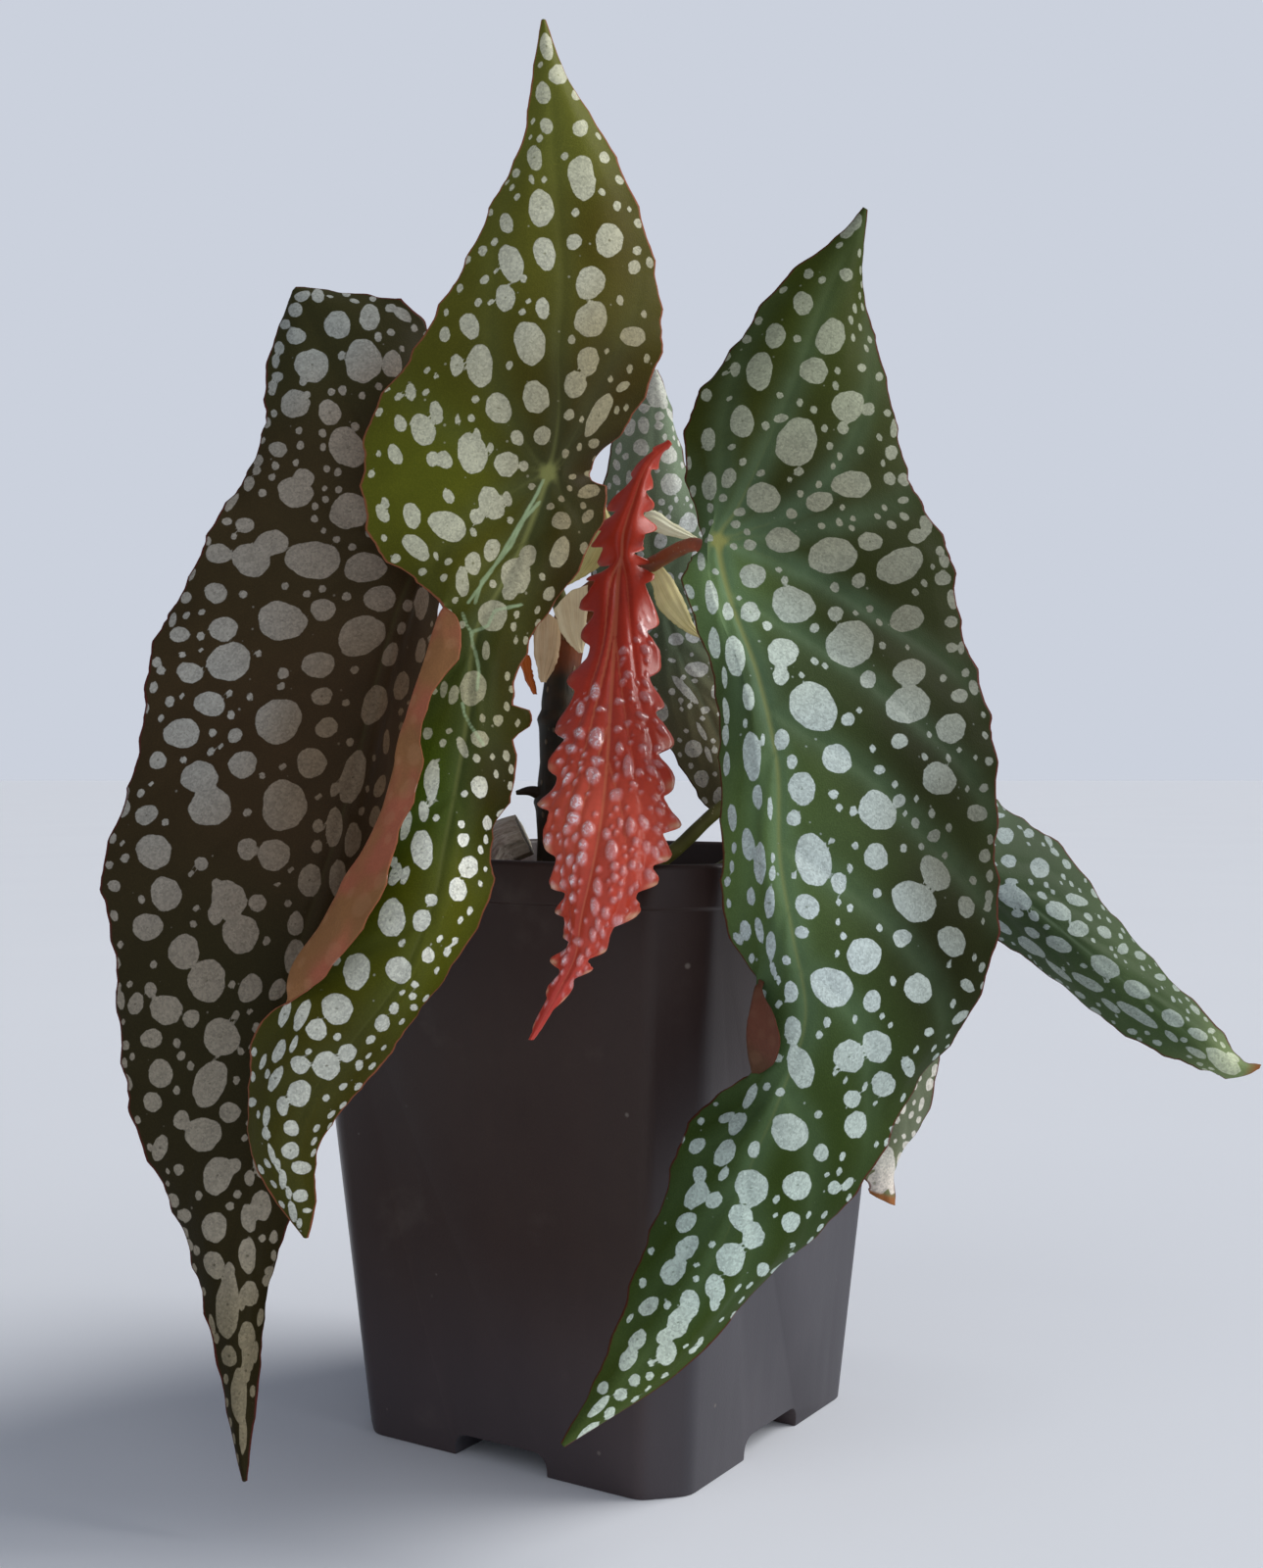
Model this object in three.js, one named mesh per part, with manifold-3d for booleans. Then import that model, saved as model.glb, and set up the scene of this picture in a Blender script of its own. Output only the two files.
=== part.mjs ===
// A potted polka dot begonia: a square nursery pot of soil, a short dark cane with its
// petioles, six spotted leaves, one young toothed leaf, papery stipules and an old stub.
// Millimetres, +Z up. The plant is laid out around the pot's upright middle line, with its
// front towards -Y, and is moved at the end so that its box stands centred on the origin.
import * as THREE from "three";
import { mergeVertices } from "three/addons/utils/BufferGeometryUtils.js";
import Module from "manifold-3d";

// The pot
const POT_HEIGHT = 130;
const RIM_HALF = 55;
const BASE_HALF = 42.5;
const RIM_CORNER = 9.8; // how far each corner is cut back along its two sides
const BASE_CORNER = 7.6;
const COLLAR_HEIGHT = 8.6;
const COLLAR_STEP = 0.9;
const WALL = 1.6;
const FLOOR_UNDER = 4.8; // height of the channels between the feet
const FLOOR_TOP = 7;
const CHANNEL_WIDTH = 24;
const CHANNEL_ROUND = 3;
const DRAIN_RADIUS = 4;
const DRAIN_SPACING = 26;
const POT_TURN = THREE.MathUtils.degToRad(-32.33);

// The soil
const SOIL_EDGE = 114;
const SOIL_TOP = 117;
const SOIL_CORNER = 8;
const FIT_GAP = 0.3; // clearance between pieces that touch

// The cane, the petioles and the stub
const CANE_SIDES = 12;
const SCAR_SIDES = 6;
const PETIOLE_SIDES = 6;
const CANE_HOLE_DEPTH = 22;
const CANE_HOLE_RADIUS = 4.7;
const CANE_RADIUS = 4.2;
const PETIOLE_RADIUS = 1.5; // at the middle of its length
const PETIOLE_TAPER = 1.2;
const PETIOLE_STRAIGHT = 6; // how far its end runs square to the blade
const STUB_SIDES = 14;
const STUB_RIDGE = 0.6;
const STUB_HOLE_DEPTH = 12;
const STUB_HOLE_RADIUS = 6.2;

// The blades
const BLADE = 0.8;
const PAPER = 0.7;
const RIB_HEIGHT = 1.1;
const BOW = 2; // how far the middle of a half blade stands forward of a straight line,
const BOW_SHARE = 0.15; // and that as a share of the half blade's width, where it is narrow
const SLOPE_STEP = 0.04; // share of a line over which the slope of a blade is taken
const NARROW = 12; // a blade of less than this width turns as one
const RIB_FADE_ROWS = 6;
const RIPPLE_POWER = 4; // ripples and teeth grow with these powers of the way to the margin
const TOOTH_POWER = 8;
const TOOTH_SPREAD = 0.3; // half width of a tooth, as a share of its pitch

// Each leaf is a list of lines across it, from the tip of its upper lobe to its lower tip.
// A line gives its left edge, its rib and its right edge. A line of four points has a fold
// between its left edge and its rib.
const LEFT_LEAF = [
  [[-67.5, -32.5, 251], [-67, -33, 251.4], [-66.6, -32.5, 252]],
  [[-70, -33, 244], [-64, -36, 246], [-60, -31, 252]],
  [[-72, -36, 231], [-59, -39, 235], [-48, -31, 250]],
  [[-73, -38, 220], [-54, -42, 225], [-40, -31, 244]],
  [[-77, -40, 208], [-48, -44, 215], [-35, -31, 230]],
  [[-83, -42, 198], [-43, -45, 204], [-33, -34, 213]],
  [[-89, -44, 185], [-39, -46, 195], [-35, -40, 196]],
  [[-93, -46, 175], [-43, -50, 182], [-35, -36, 187]],
  [[-95, -48, 160], [-47, -53, 167], [-37, -37, 170]],
  [[-98, -50, 145], [-50, -57, 152], [-42, -43, 150]],
  [[-102, -52, 129], [-54, -60, 136], [-44, -49, 131]],
  [[-100, -54, 114], [-59, -62, 120], [-47, -51, 116]],
  [[-98, -57, 95], [-64, -64, 103], [-53, -53, 98]],
  [[-94, -60, 80], [-67, -65, 86], [-58, -56, 80]],
  [[-88, -63, 66], [-69, -68, 69], [-62, -60, 66]],
  [[-81, -66, 51], [-70, -70, 53], [-65, -64, 50]],
  [[-76, -69, 38], [-70, -72, 38], [-67, -67, 36]],
  [[-73, -72, 24], [-70, -74, 24], [-68, -71, 23]],
  [[-69.5, -74.5, 12], [-69, -75, 12], [-68.5, -74.5, 12]],
];
const CENTRE_LEAF = [
  [[-13.5, -44.5, 304], [-13, -45, 304], [-12.5, -44.5, 304]],
  [[-15, -44, 295], [-12, -46, 295], [-9, -43, 295]],
  [[-17, -45, 280], [-11, -48, 280], [-1, -43, 281]],
  [[-24, -46, 265], [-10, -50, 265], [6, -42, 266]],
  [[-31, -47, 249], [-9, -52, 248], [11, -41, 250]],
  [[-39, -48, 235], [-10, -54, 234], [11, -41, 236]],
  [[-48, -50, 221], [-10, -53, 220], [5, -42, 222]],
  [[-49, -53, 206], [-12, -52, 209], [-3, -45, 211]],
  [[-46, -56, 193], [-16, -54, 197], [0, -47, 204]],
  [[-37, -60, 186], [-21, -60, 185], [-6, -51, 189]],
  [[-28, -68, 175], [-33, -64, 176], [-26, -62, 175], [-14, -55, 176]],
  [[-34, -72, 160], [-37, -67, 161], [-27, -66, 160], [-19, -59, 163]],
  [[-35, -76, 146], [-41, -69, 146], [-29, -70, 146], [-18, -62, 146]],
  [[-40, -79, 135], [-45, -71, 134], [-31, -74, 134], [-22, -66, 135]],
  [[-42, -85, 123], [-53, -74, 120], [-33, -79, 123], [-23, -71, 123]],
  [[-52, -84, 110], [-59, -76, 110], [-39, -82, 109], [-31, -75, 108]],
  [[-65, -77, 100], [-57, -83, 100], [-47, -83, 98], [-38, -77, 98]],
  [[-68, -77, 88], [-61, -83, 89], [-54, -83, 89], [-47, -77, 88]],
  [[-67, -78, 76], [-63, -82, 78], [-59, -82, 77], [-54, -77, 77]],
  [[-62, -77, 66], [-58, -79, 66], [-55, -76, 66]],
  [[-57.5, -75.5, 59], [-57, -76, 59], [-56.5, -75.5, 59]],
];
const RIGHT_LEAF = [
  [[54.6, -34.5, 268.4], [55, -35, 268], [55.6, -34.5, 267.8]],
  [[49, -34, 262], [52, -36, 260], [55, -33, 259]],
  [[37, -36, 251], [46, -40, 247], [56, -32, 246]],
  [[26, -40, 237], [40, -45, 231], [59, -34, 232]],
  [[18, -44, 223], [33, -49, 215], [63, -35, 217]],
  [[17, -48, 208], [27, -52, 202], [66, -37, 205]],
  [[19, -53, 195], [23, -55, 195], [72, -40, 194]],
  [[16, -59, 186], [25, -61, 182], [74, -44, 180]],
  [[21, -66, 169], [30, -69, 167], [77, -49, 164]],
  [[22, -72, 151], [33, -77, 150], [79, -54, 150]],
  [[23, -78, 133], [33, -84, 133], [79, -58, 132]],
  [[24, -82, 117], [35, -90, 118], [77, -62, 116]],
  [[29, -78, 101], [33, -88, 102], [37, -92, 103], [71, -66, 99]],
  [[22, -87, 88], [32, -95, 89], [60, -71, 86]],
  [[14, -89, 80], [27, -96, 78], [50, -78, 73]],
  [[9, -89, 64], [22, -96, 64], [40, -82, 61]],
  [[4, -90, 49], [14, -95, 50], [27, -86, 50]],
  [[-2, -91, 36], [4, -94, 37], [12, -90, 37]],
  [[-7.6, -93.5, 26.4], [-7.2, -94, 26], [-6.8, -93.5, 25.6]],
];
const BACK_LEAF = [
  [[10.5, 11.5, 244], [11, 11, 244], [11.5, 11.5, 244]],
  [[6, 12, 237], [11, 9, 236], [15, 12, 235]],
  [[0, 14, 222], [10, 9, 222], [19, 16, 221]],
  [[-3, 16, 207], [9, 11, 207], [25, 20, 206]],
  [[-4, 20, 193], [11, 14, 193], [32, 24, 193]],
  [[0, 24, 178], [16, 18, 178], [39, 29, 178]],
  [[8, 27, 164], [23, 22, 164], [43, 32, 161]],
  [[18, 29, 150], [30, 26, 149], [43, 33, 147]],
  [[26, 30, 138], [34, 28, 138], [41, 32, 137]],
  [[36.5, 29.5, 130], [37, 29, 130], [37.5, 29.5, 130]],
];
const FAR_LEAF = [
  [[52.6, 8, 159.6], [53, 8, 160], [53.4, 8, 160.4]],
  [[54, 14, 147], [58, 5, 151], [65, 12, 156]],
  [[60, 17, 138], [66, 6, 141], [77, 20, 149]],
  [[75, 20, 125], [78, 8, 131], [89, 25, 144]],
  [[86, 23, 113], [89, 9, 123], [99, 27, 139]],
  [[99, 25, 105], [100, 11, 116], [110, 27, 130]],
  [[113, 25, 93], [113, 13, 106], [122, 27, 115]],
  [[127, 23, 84], [128, 15, 94], [135, 26, 102]],
  [[141, 22, 77], [142, 17, 83], [147, 24, 87]],
  [[151, 21, 73], [152, 19, 76], [154, 22, 78]],
  [[158.8, 21, 75.5], [159, 21, 76], [159.2, 21, 76.5]],
];
const LOW_LEAF = [
  [[60.5, -28.5, 145], [61, -29, 145], [61.5, -28.5, 145]],
  [[54, -38, 140], [59, -38, 140], [66, -30, 138]],
  [[48, -44, 129], [57, -41, 129], [72, -31, 126]],
  [[46, -43, 115], [58, -42, 115], [77, -30, 112]],
  [[46, -43, 100], [59, -42, 100], [76, -30, 98]],
  [[47, -42, 86], [59, -42, 86], [71, -31, 84]],
  [[51, -41, 74], [59, -42, 74], [67, -32, 72]],
  [[54, -40, 63], [58, -41, 64], [63, -35, 64]],
  [[59.5, -38, 56.4], [60, -38, 56], [60.5, -37.5, 56.4]],
];
const RED_LEAF = [
  [[13.4, -12, 223], [14, -12.5, 222.6], [14.4, -12, 222]],
  [[7.5, -14, 217.5], [8.8, -15, 217], [10, -14, 216.5]],
  [[2, -17, 207.5], [5.5, -19, 208], [8.5, -17, 208.5]],
  [[-2.4, -19, 200], [3.4, -21.5, 201], [8.4, -19, 201.5]],
  [[0.2, -20.2, 194.6], [3, -21.8, 195.4], [6.2, -20.4, 195.8]],
  [[-4.5, -22, 189], [2.2, -22.5, 190.5], [9, -22, 190.5]],
  [[-5.5, -30, 177], [1.6, -32.5, 177], [9, -30, 177]],
  [[-7.2, -42, 164], [0.8, -45.5, 163.5], [10.2, -43, 163.5]],
  [[-9.6, -55, 150.5], [0.2, -60, 150.5], [11.6, -57, 151]],
  [[-11, -65, 139], [-0.8, -71, 139.5], [12.2, -69, 140]],
  [[-9.5, -72, 128.5], [-2.5, -77.5, 130], [10, -77, 130.5]],
  [[-7.5, -76, 120.5], [-4.5, -80, 121], [5, -80, 122.5]],
  [[-7.5, -79, 113.5], [-5.5, -81, 113.5], [-1.5, -81, 114]],
  [[-10, -81, 107], [-8.5, -82.5, 107], [-6.5, -82, 107.5]],
  [[-14, -83, 98], [-13.5, -83.5, 98], [-13, -83, 98]],
];

// Stipules: the papery sheaths round the top node, on the same kind of lines, base first.
const STIPULE_IVORY = [
  [[-12, -8.6, 184.6], [-8.4, -10.4, 185.8], [-4.8, -11, 185.8]],
  [[-10.4, -9.4, 179.4], [-7.8, -10.8, 180], [-5, -10.6, 180.4]],
  [[-6.7, -10.6, 175], [-6.2, -11.2, 175], [-5.7, -10.6, 175]],
];
const STIPULE_TAN = [
  [[-16.6, -2.6, 181], [-14.2, -5, 181], [-11.4, -5.6, 180]],
  [[-17, -3.6, 175], [-14.4, -6.2, 175], [-11.6, -6.4, 174]],
  [[-15.6, -5, 168.6], [-15, -6, 168.6], [-14.4, -5, 168.6]],
];
const STIPULE_RUST = [
  [[-20.8, -0.4, 175], [-19.6, -1.8, 175.4], [-18.4, -2.2, 175]],
  [[-20, -1, 171], [-18.8, -2.4, 171], [-17.6, -2.6, 171]],
  [[-17.6, -1.2, 166], [-17.1, -1.8, 166], [-16.6, -1.2, 166]],
];
const STIPULE_PALE = [
  [[5.6, -7, 203.2], [6, -8, 204.4], [6.8, -8, 205.4]],
  [[9.2, -9, 203], [9.6, -10, 205.4], [10, -9, 207.6]],
  [[14, -9, 201.6], [14.6, -10, 203], [15.4, -9, 204.4]],
  [[19.4, -8, 200.8], [19.9, -8.4, 201.1], [20.3, -8, 201.5]],
];
const STIPULE_HANGING = [
  [[8.2, -16.2, 195.4], [9.2, -16.6, 196], [10, -16.6, 195.8]],
  [[9.8, -16.2, 189.6], [11.6, -17.2, 191.2], [14.2, -17.4, 191.4]],
  [[11.4, -18.6, 184.2], [14, -19.4, 186], [17.2, -18.6, 185.4]],
  [[16.2, -17.4, 180], [17.6, -17.6, 181], [19.4, -17, 180.6]],
  [[20.8, -16.4, 177.8], [21.1, -16.8, 178], [21.4, -16.4, 178.2]],
];
const STIPULE_GREEN = [
  [[-9.2, -7.6, 190.6], [-7, -9, 191.6], [-5.2, -9, 192.6]],
  [[-6.6, -8.6, 196], [-3.4, -10, 196], [-0.4, -9.4, 196.6]],
  [[-3.6, -8.4, 202], [-1, -9.8, 202], [1.6, -9.2, 202.4]],
  [[-1.4, -8, 208], [-1, -8.4, 208.2], [-0.6, -8, 208.4]],
];

const COLOURS = {
  pot: 0x34323a,
  soil: 0x2c221b,
  cane: 0x2f2a1a,
  stub: 0x8d857c,
  olive: 0x353a1c,
  bright: 0x5c7020,
  deep: 0x2f4a22,
  blue: 0x4f6f5c,
  red: 0xc24a3c,
  ivory: 0xd6cba2,
  tan: 0xbd9468,
  rust: 0x8a4a22,
  pale: 0xcfd2ae,
  yellowGreen: 0xb3ae62,
};

const wasm = await Module();
wasm.setup();

// ---------- shared shape helpers ----------

// A smooth run through four numbers or points: from b at t = 0 to c at t = 1.
function run(a, b, c, d, t) {
  const smooth = (k) => {
    const bend = 2 * a[k] - 5 * b[k] + 4 * c[k] - d[k];
    const twist = 3 * (b[k] - c[k]) + d[k] - a[k];
    return b[k] + 0.5 * t * (c[k] - a[k] + t * (bend + t * twist));
  };
  return new THREE.Vector3(smooth(0), smooth(1), smooth(2));
}

// The point at place x along a list of points, 0 at the first and length - 1 at the last.
function along(points, x) {
  const i = Math.min(Math.max(Math.floor(x), 0), points.length - 2);
  const at = (n) => points[Math.min(Math.max(n, 0), points.length - 1)];
  return run(at(i - 1), at(i), at(i + 1), at(i + 2), x - i);
}

// A closed geometry from vertices [x, y, z] and triangles [a, b, c].
function closed(vertices, triangles) {
  const geometry = new THREE.BufferGeometry();
  geometry.setAttribute("position", new THREE.Float32BufferAttribute(vertices.flat(), 3));
  geometry.setIndex(triangles.flat());
  return geometry;
}

function solid(geometry) {
  const bare = geometry.clone();
  bare.deleteAttribute("normal");
  bare.deleteAttribute("uv");
  const merged = mergeVertices(bare, 1e-4);
  return new wasm.Manifold(
    new wasm.Mesh({
      numProp: 3,
      vertProperties: new Float32Array(merged.attributes.position.array),
      triVerts: new Uint32Array(merged.index.array),
    }),
  );
}

function geometryOf(body) {
  const { vertProperties, triVerts } = body.getMesh();
  const geometry = new THREE.BufferGeometry();
  geometry.setAttribute("position", new THREE.BufferAttribute(vertProperties, 3));
  geometry.setIndex(new THREE.BufferAttribute(triVerts, 1));
  return geometry;
}

function piece(name, geometry, color, roughness) {
  geometry.computeVertexNormals();
  const material = new THREE.MeshStandardMaterial({ color, roughness, metalness: 0 });
  const mesh = new THREE.Mesh(geometry, material);
  mesh.name = name;
  return mesh;
}

// Rings of points, each with as many, skinned into one closed body with flat ends.
function skin(rings) {
  const sides = rings[0].length;
  const vertices = rings.flat();
  const triangles = [];
  for (let r = 0; r + 1 < rings.length; r++) {
    for (let i = 0; i < sides; i++) {
      const a = r * sides + i;
      const b = r * sides + ((i + 1) % sides);
      triangles.push([a, b, b + sides], [a, b + sides, a + sides]);
    }
  }
  const last = (rings.length - 1) * sides;
  for (let i = 1; i + 1 < sides; i++) {
    triangles.push([0, i + 1, i], [last, last + i, last + i + 1]);
  }
  return closed(vertices, triangles);
}

// ---------- pot and soil ----------

// One level of the square: eight corners, anticlockwise seen from above.
function squareRing(z, half, corner) {
  const inner = half - corner;
  return [
    [half, -inner, z], [half, inner, z], [inner, half, z], [-inner, half, z],
    [-half, inner, z], [-half, -inner, z], [-inner, -half, z], [inner, -half, z],
  ];
}

// Half side and corner cut of the tapering pot at a height.
function potSide(z, inset = 0) {
  const share = z / POT_HEIGHT;
  const half = BASE_HALF + (RIM_HALF - BASE_HALF) * share - inset;
  const corner = BASE_CORNER + (RIM_CORNER - BASE_CORNER) * share - 0.6 * inset;
  return squareRing(z, half, corner);
}

// A channel with rounded top corners that runs under the whole pot.
function channel() {
  const half = CHANNEL_WIDTH / 2;
  const section = new THREE.Shape();
  section.moveTo(-half, -1);
  section.lineTo(half, -1);
  section.lineTo(half, FLOOR_UNDER - CHANNEL_ROUND);
  section.absarc(half - CHANNEL_ROUND, FLOOR_UNDER - CHANNEL_ROUND, CHANNEL_ROUND, 0, Math.PI / 2);
  section.absarc(CHANNEL_ROUND - half, FLOOR_UNDER - CHANNEL_ROUND, CHANNEL_ROUND, Math.PI / 2, Math.PI);
  section.lineTo(-half, -1);
  const length = 4 * BASE_HALF;
  const settings = { depth: length, bevelEnabled: false, curveSegments: 4 };
  return new THREE.ExtrudeGeometry(section, settings)
    .translate(0, 0, -length / 2)
    .rotateX(Math.PI / 2);
}

function upright(radius, bottom, top, sides) {
  return new THREE.CylinderGeometry(radius, radius, top - bottom, sides)
    .rotateX(Math.PI / 2)
    .translate(0, 0, (bottom + top) / 2);
}

function potGeometry() {
  const collar = POT_HEIGHT - COLLAR_HEIGHT;
  const slant = COLLAR_STEP / 2; // height of the collar's underside
  let body = solid(skin([
    potSide(0),
    potSide(collar - slant, COLLAR_STEP),
    potSide(collar),
    potSide(POT_HEIGHT),
  ]));
  const inside = skin([
    potSide(FLOOR_TOP, WALL + (COLLAR_STEP * FLOOR_TOP) / collar),
    potSide(collar, WALL + COLLAR_STEP),
    potSide(POT_HEIGHT + 1, WALL + COLLAR_STEP),
  ]);
  body = body.subtract(solid(inside));
  body = body.subtract(solid(channel()));
  body = body.subtract(solid(channel().rotateZ(Math.PI / 2)));
  const drain = upright(DRAIN_RADIUS, 0, 2 * FLOOR_TOP, 12);
  for (const [x, y] of [[0, 0], [1, 0], [0, 1], [-1, 0], [0, -1]]) {
    const place = drain.clone().translate(x * DRAIN_SPACING, y * DRAIN_SPACING, 0);
    body = body.subtract(solid(place));
  }
  return geometryOf(body).rotateZ(POT_TURN);
}

function soilGeometry(stems) {
  const inset = WALL + COLLAR_STEP + FIT_GAP;
  const top = squareRing(SOIL_TOP, RIM_HALF - 4 * SOIL_CORNER, SOIL_CORNER);
  let body = solid(
    skin([potSide(FLOOR_TOP + FIT_GAP, inset), potSide(SOIL_EDGE, inset), top]).rotateZ(POT_TURN),
  );
  for (const { at, radius, depth } of stems) {
    const hole = upright(radius, SOIL_TOP - depth - FIT_GAP, SOIL_TOP + 10, 16);
    body = body.subtract(solid(hole.translate(at[0], at[1], 0)));
  }
  return geometryOf(body);
}

// ---------- cane, petioles and stub ----------

// A round limb along a list of [x, y, z, radius]. Ridges, where asked for, raise every
// second side.
function limb(knots, sides, steps, ridge = 0) {
  const curve = new THREE.CatmullRomCurve3(knots.map((k) => new THREE.Vector3(...k)));
  const { normals, binormals } = curve.computeFrenetFrames(steps);
  const rings = [];
  for (let i = 0; i <= steps; i++) {
    const centre = curve.getPointAt(i / steps);
    const place = (i / steps) * (knots.length - 1);
    const k = Math.min(Math.floor(place), knots.length - 2);
    const radius = THREE.MathUtils.lerp(knots[k][3], knots[k + 1][3], place - k);
    const ring = [];
    for (let s = 0; s < sides; s++) {
      const turn = (2 * Math.PI * s) / sides;
      const reach = radius + ridge * (s % 2);
      const spoke = normals[i].clone().multiplyScalar(Math.cos(turn) * reach);
      spoke.addScaledVector(binormals[i], Math.sin(turn) * reach);
      ring.push(centre.clone().add(spoke).toArray());
    }
    rings.push(ring);
  }
  return skin(rings);
}

// ---------- blades ----------

// The five points of a line across a blade: left edge, left middle, rib, right middle
// and right edge.
function line(row) {
  const middle = (edge, rib) => {
    const bow = Math.min(BOW, BOW_SHARE * Math.hypot(...edge.map((v, k) => v - rib[k])));
    return edge.map((v, k) => (v + rib[k]) / 2 - (k === 1 ? bow : 0));
  };
  const [left, rib, right] = row.length === 4 ? [row[0], row[2], row[3]] : row;
  const fold = row.length === 4 ? row[1] : middle(left, rib);
  return [left, fold, rib, middle(right, rib), right];
}

// The smooth middle surface: s counts the lines from the upper tip, t runs from -1 at the
// left edge through 0 on the rib to 1 at the right edge.
function surface(lines, s, t) {
  const across = [0, 1, 2, 3, 4].map((c) => along(lines.map((l) => l[c]), s).toArray());
  return along(across, 2 * (t + 1));
}

// The directions across the upper face and out of it.
function slopes(lines, s, t) {
  const down = surface(lines, Math.min(s + SLOPE_STEP, lines.length - 1), t)
    .sub(surface(lines, Math.max(s - SLOPE_STEP, 0), t));
  const right = surface(lines, s, Math.min(t + SLOPE_STEP, 1))
    .sub(surface(lines, s, Math.max(t - SLOPE_STEP, -1)))
    .normalize();
  return { right, out: down.normalize().cross(right).normalize() };
}

// A point of the upper face and the direction out of it. Where the blade is narrow, that
// direction is nearly its rib's, so that thin tips stay sound. Ripples lift the margin and
// teeth push it outwards.
function bladePoint(leaf, s, t) {
  const end = leaf.lines.length - 1;
  const { right, out } = slopes(leaf.lines, s, t);
  const width = surface(leaf.lines, s, -1).distanceTo(surface(leaf.lines, s, 1));
  out.lerp(slopes(leaf.lines, s, 0).out, Math.max(0, 1 - width / NARROW)).normalize();
  const fade = Math.min(1, 2.5 * Math.sin((Math.PI * s) / end));
  const wave = Math.sin(leaf.waves * s + 2 * t);
  const ripple = leaf.ripple * fade * Math.abs(t) ** RIPPLE_POWER * wave;
  const place = (s * leaf.teethPerLine) % 1;
  const peak = Math.max(0, 1 - Math.abs(place - 0.5) / TOOTH_SPREAD);
  const tooth = leaf.tooth * fade * Math.abs(t) ** TOOTH_POWER * peak;
  const point = surface(leaf.lines, s, t)
    .addScaledVector(out, ripple)
    .addScaledVector(right, Math.sign(t) * tooth);
  return { point, out };
}

// A closed blade: its upper face and its underside are split into triangles alike.
function bladeGeometry(leaf) {
  const columns = leaf.columns;
  const rows = (leaf.lines.length - 1) * leaf.stepsPerLine;
  const upper = [];
  const under = [];
  for (let i = 0; i <= rows; i++) {
    const s = i / leaf.stepsPerLine;
    for (const t of columns) {
      const { point, out } = bladePoint(leaf, s, t);
      const rib = t === 0 ? leaf.rib * Math.min(1, i / RIB_FADE_ROWS, (rows - i) / RIB_FADE_ROWS) : 0;
      upper.push(point.toArray());
      under.push(point.addScaledVector(out, -leaf.thickness - rib).toArray());
    }
  }
  const width = columns.length;
  const offset = upper.length;
  const triangles = [];
  for (let i = 0; i < rows; i++) {
    for (let j = 0; j + 1 < width; j++) {
      const a = i * width + j;
      const b = a + width;
      triangles.push([a, b, b + 1], [a, b + 1, a + 1]);
      triangles.push([offset + a, offset + b + 1, offset + b]);
      triangles.push([offset + a, offset + a + 1, offset + b + 1]);
    }
  }
  const rim = [];
  for (let i = 0; i <= rows; i++) rim.push(i * width);
  for (let j = 1; j < width; j++) rim.push(rows * width + j);
  for (let i = rows - 1; i >= 0; i--) rim.push(i * width + width - 1);
  for (let j = width - 2; j > 0; j--) rim.push(j);
  rim.forEach((a, n) => {
    const b = rim[(n + 1) % rim.length];
    triangles.push([a, offset + a, offset + b], [a, offset + b, b]);
  });
  return closed([...upper, ...under], triangles);
}

const PLAIN_COLUMNS = [-1, -0.55, -0.08, 0, 0.08, 0.55, 1];
const FOLDED_COLUMNS = [-1, -0.75, -0.55, -0.35, -0.1, 0, 0.1, 0.55, 1];
const SMALL_COLUMNS = [-1, -0.5, 0, 0.5, 1];

function leafFrom(rows, settings = {}) {
  return {
    lines: rows.map(line),
    columns: PLAIN_COLUMNS,
    stepsPerLine: 3,
    thickness: BLADE,
    rib: RIB_HEIGHT,
    ripple: 1,
    waves: 2.2,
    tooth: 0.8,
    teethPerLine: 1.5,
    ...settings,
  };
}

const LEAVES = {
  leaf_left: leafFrom(LEFT_LEAF),
  leaf_centre: leafFrom(CENTRE_LEAF, { columns: FOLDED_COLUMNS, ripple: 0.6 }),
  leaf_right: leafFrom(RIGHT_LEAF),
  leaf_back: leafFrom(BACK_LEAF),
  leaf_far_right: leafFrom(FAR_LEAF),
  leaf_low_right: leafFrom(LOW_LEAF),
  leaf_new_red: leafFrom(RED_LEAF, {
    stepsPerLine: 4,
    ripple: 0.5,
    waves: 6,
    tooth: 3.2,
    teethPerLine: 1,
    rib: 0.8,
  }),
};
const LEAF_COLOURS = {
  leaf_left: COLOURS.olive,
  leaf_centre: COLOURS.bright,
  leaf_right: COLOURS.deep,
  leaf_back: COLOURS.blue,
  leaf_far_right: COLOURS.blue,
  leaf_low_right: COLOURS.blue,
  leaf_new_red: COLOURS.red,
};

// Where each petiole leaves the cane, its way on, and the line of the leaf that it meets.
const PETIOLES = [
  { leaf: "leaf_left", meets: 6, way: [[-10, 0, 178], [-19, 2, 183], [-31, -16, 191]] },
  {
    leaf: "leaf_centre",
    meets: 7,
    way: [[-9.6, -0.5, 183], [-13, -6, 192], [-14, -18, 200], [-13.4, -34, 206]],
  },
  { leaf: "leaf_right", meets: 6, way: [[-9, 0, 182], [3, -5, 192], [12, -16, 197], [18, -34, 199]] },
  { leaf: "leaf_back", meets: 4, way: [[-10, 1, 179], [-11, 14, 182], [-6, 27, 187], [3, 27, 191]] },
  { leaf: "leaf_new_red", meets: 4, way: [[-9, -1, 183], [-6, -8, 188]] },
  {
    leaf: "leaf_far_right",
    meets: 3,
    way: [[-11, 2, 121], [2, 8, 120.5], [15, 9, 129], [26, 10, 139], [42, 14, 149], [59, 20, 146]],
  },
  {
    leaf: "leaf_low_right",
    meets: 2,
    way: [[-11, -2, 121], [8, -12, 120], [26, -22, 127], [41, -27, 140], [53, -31, 140]],
  },
];

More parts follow.
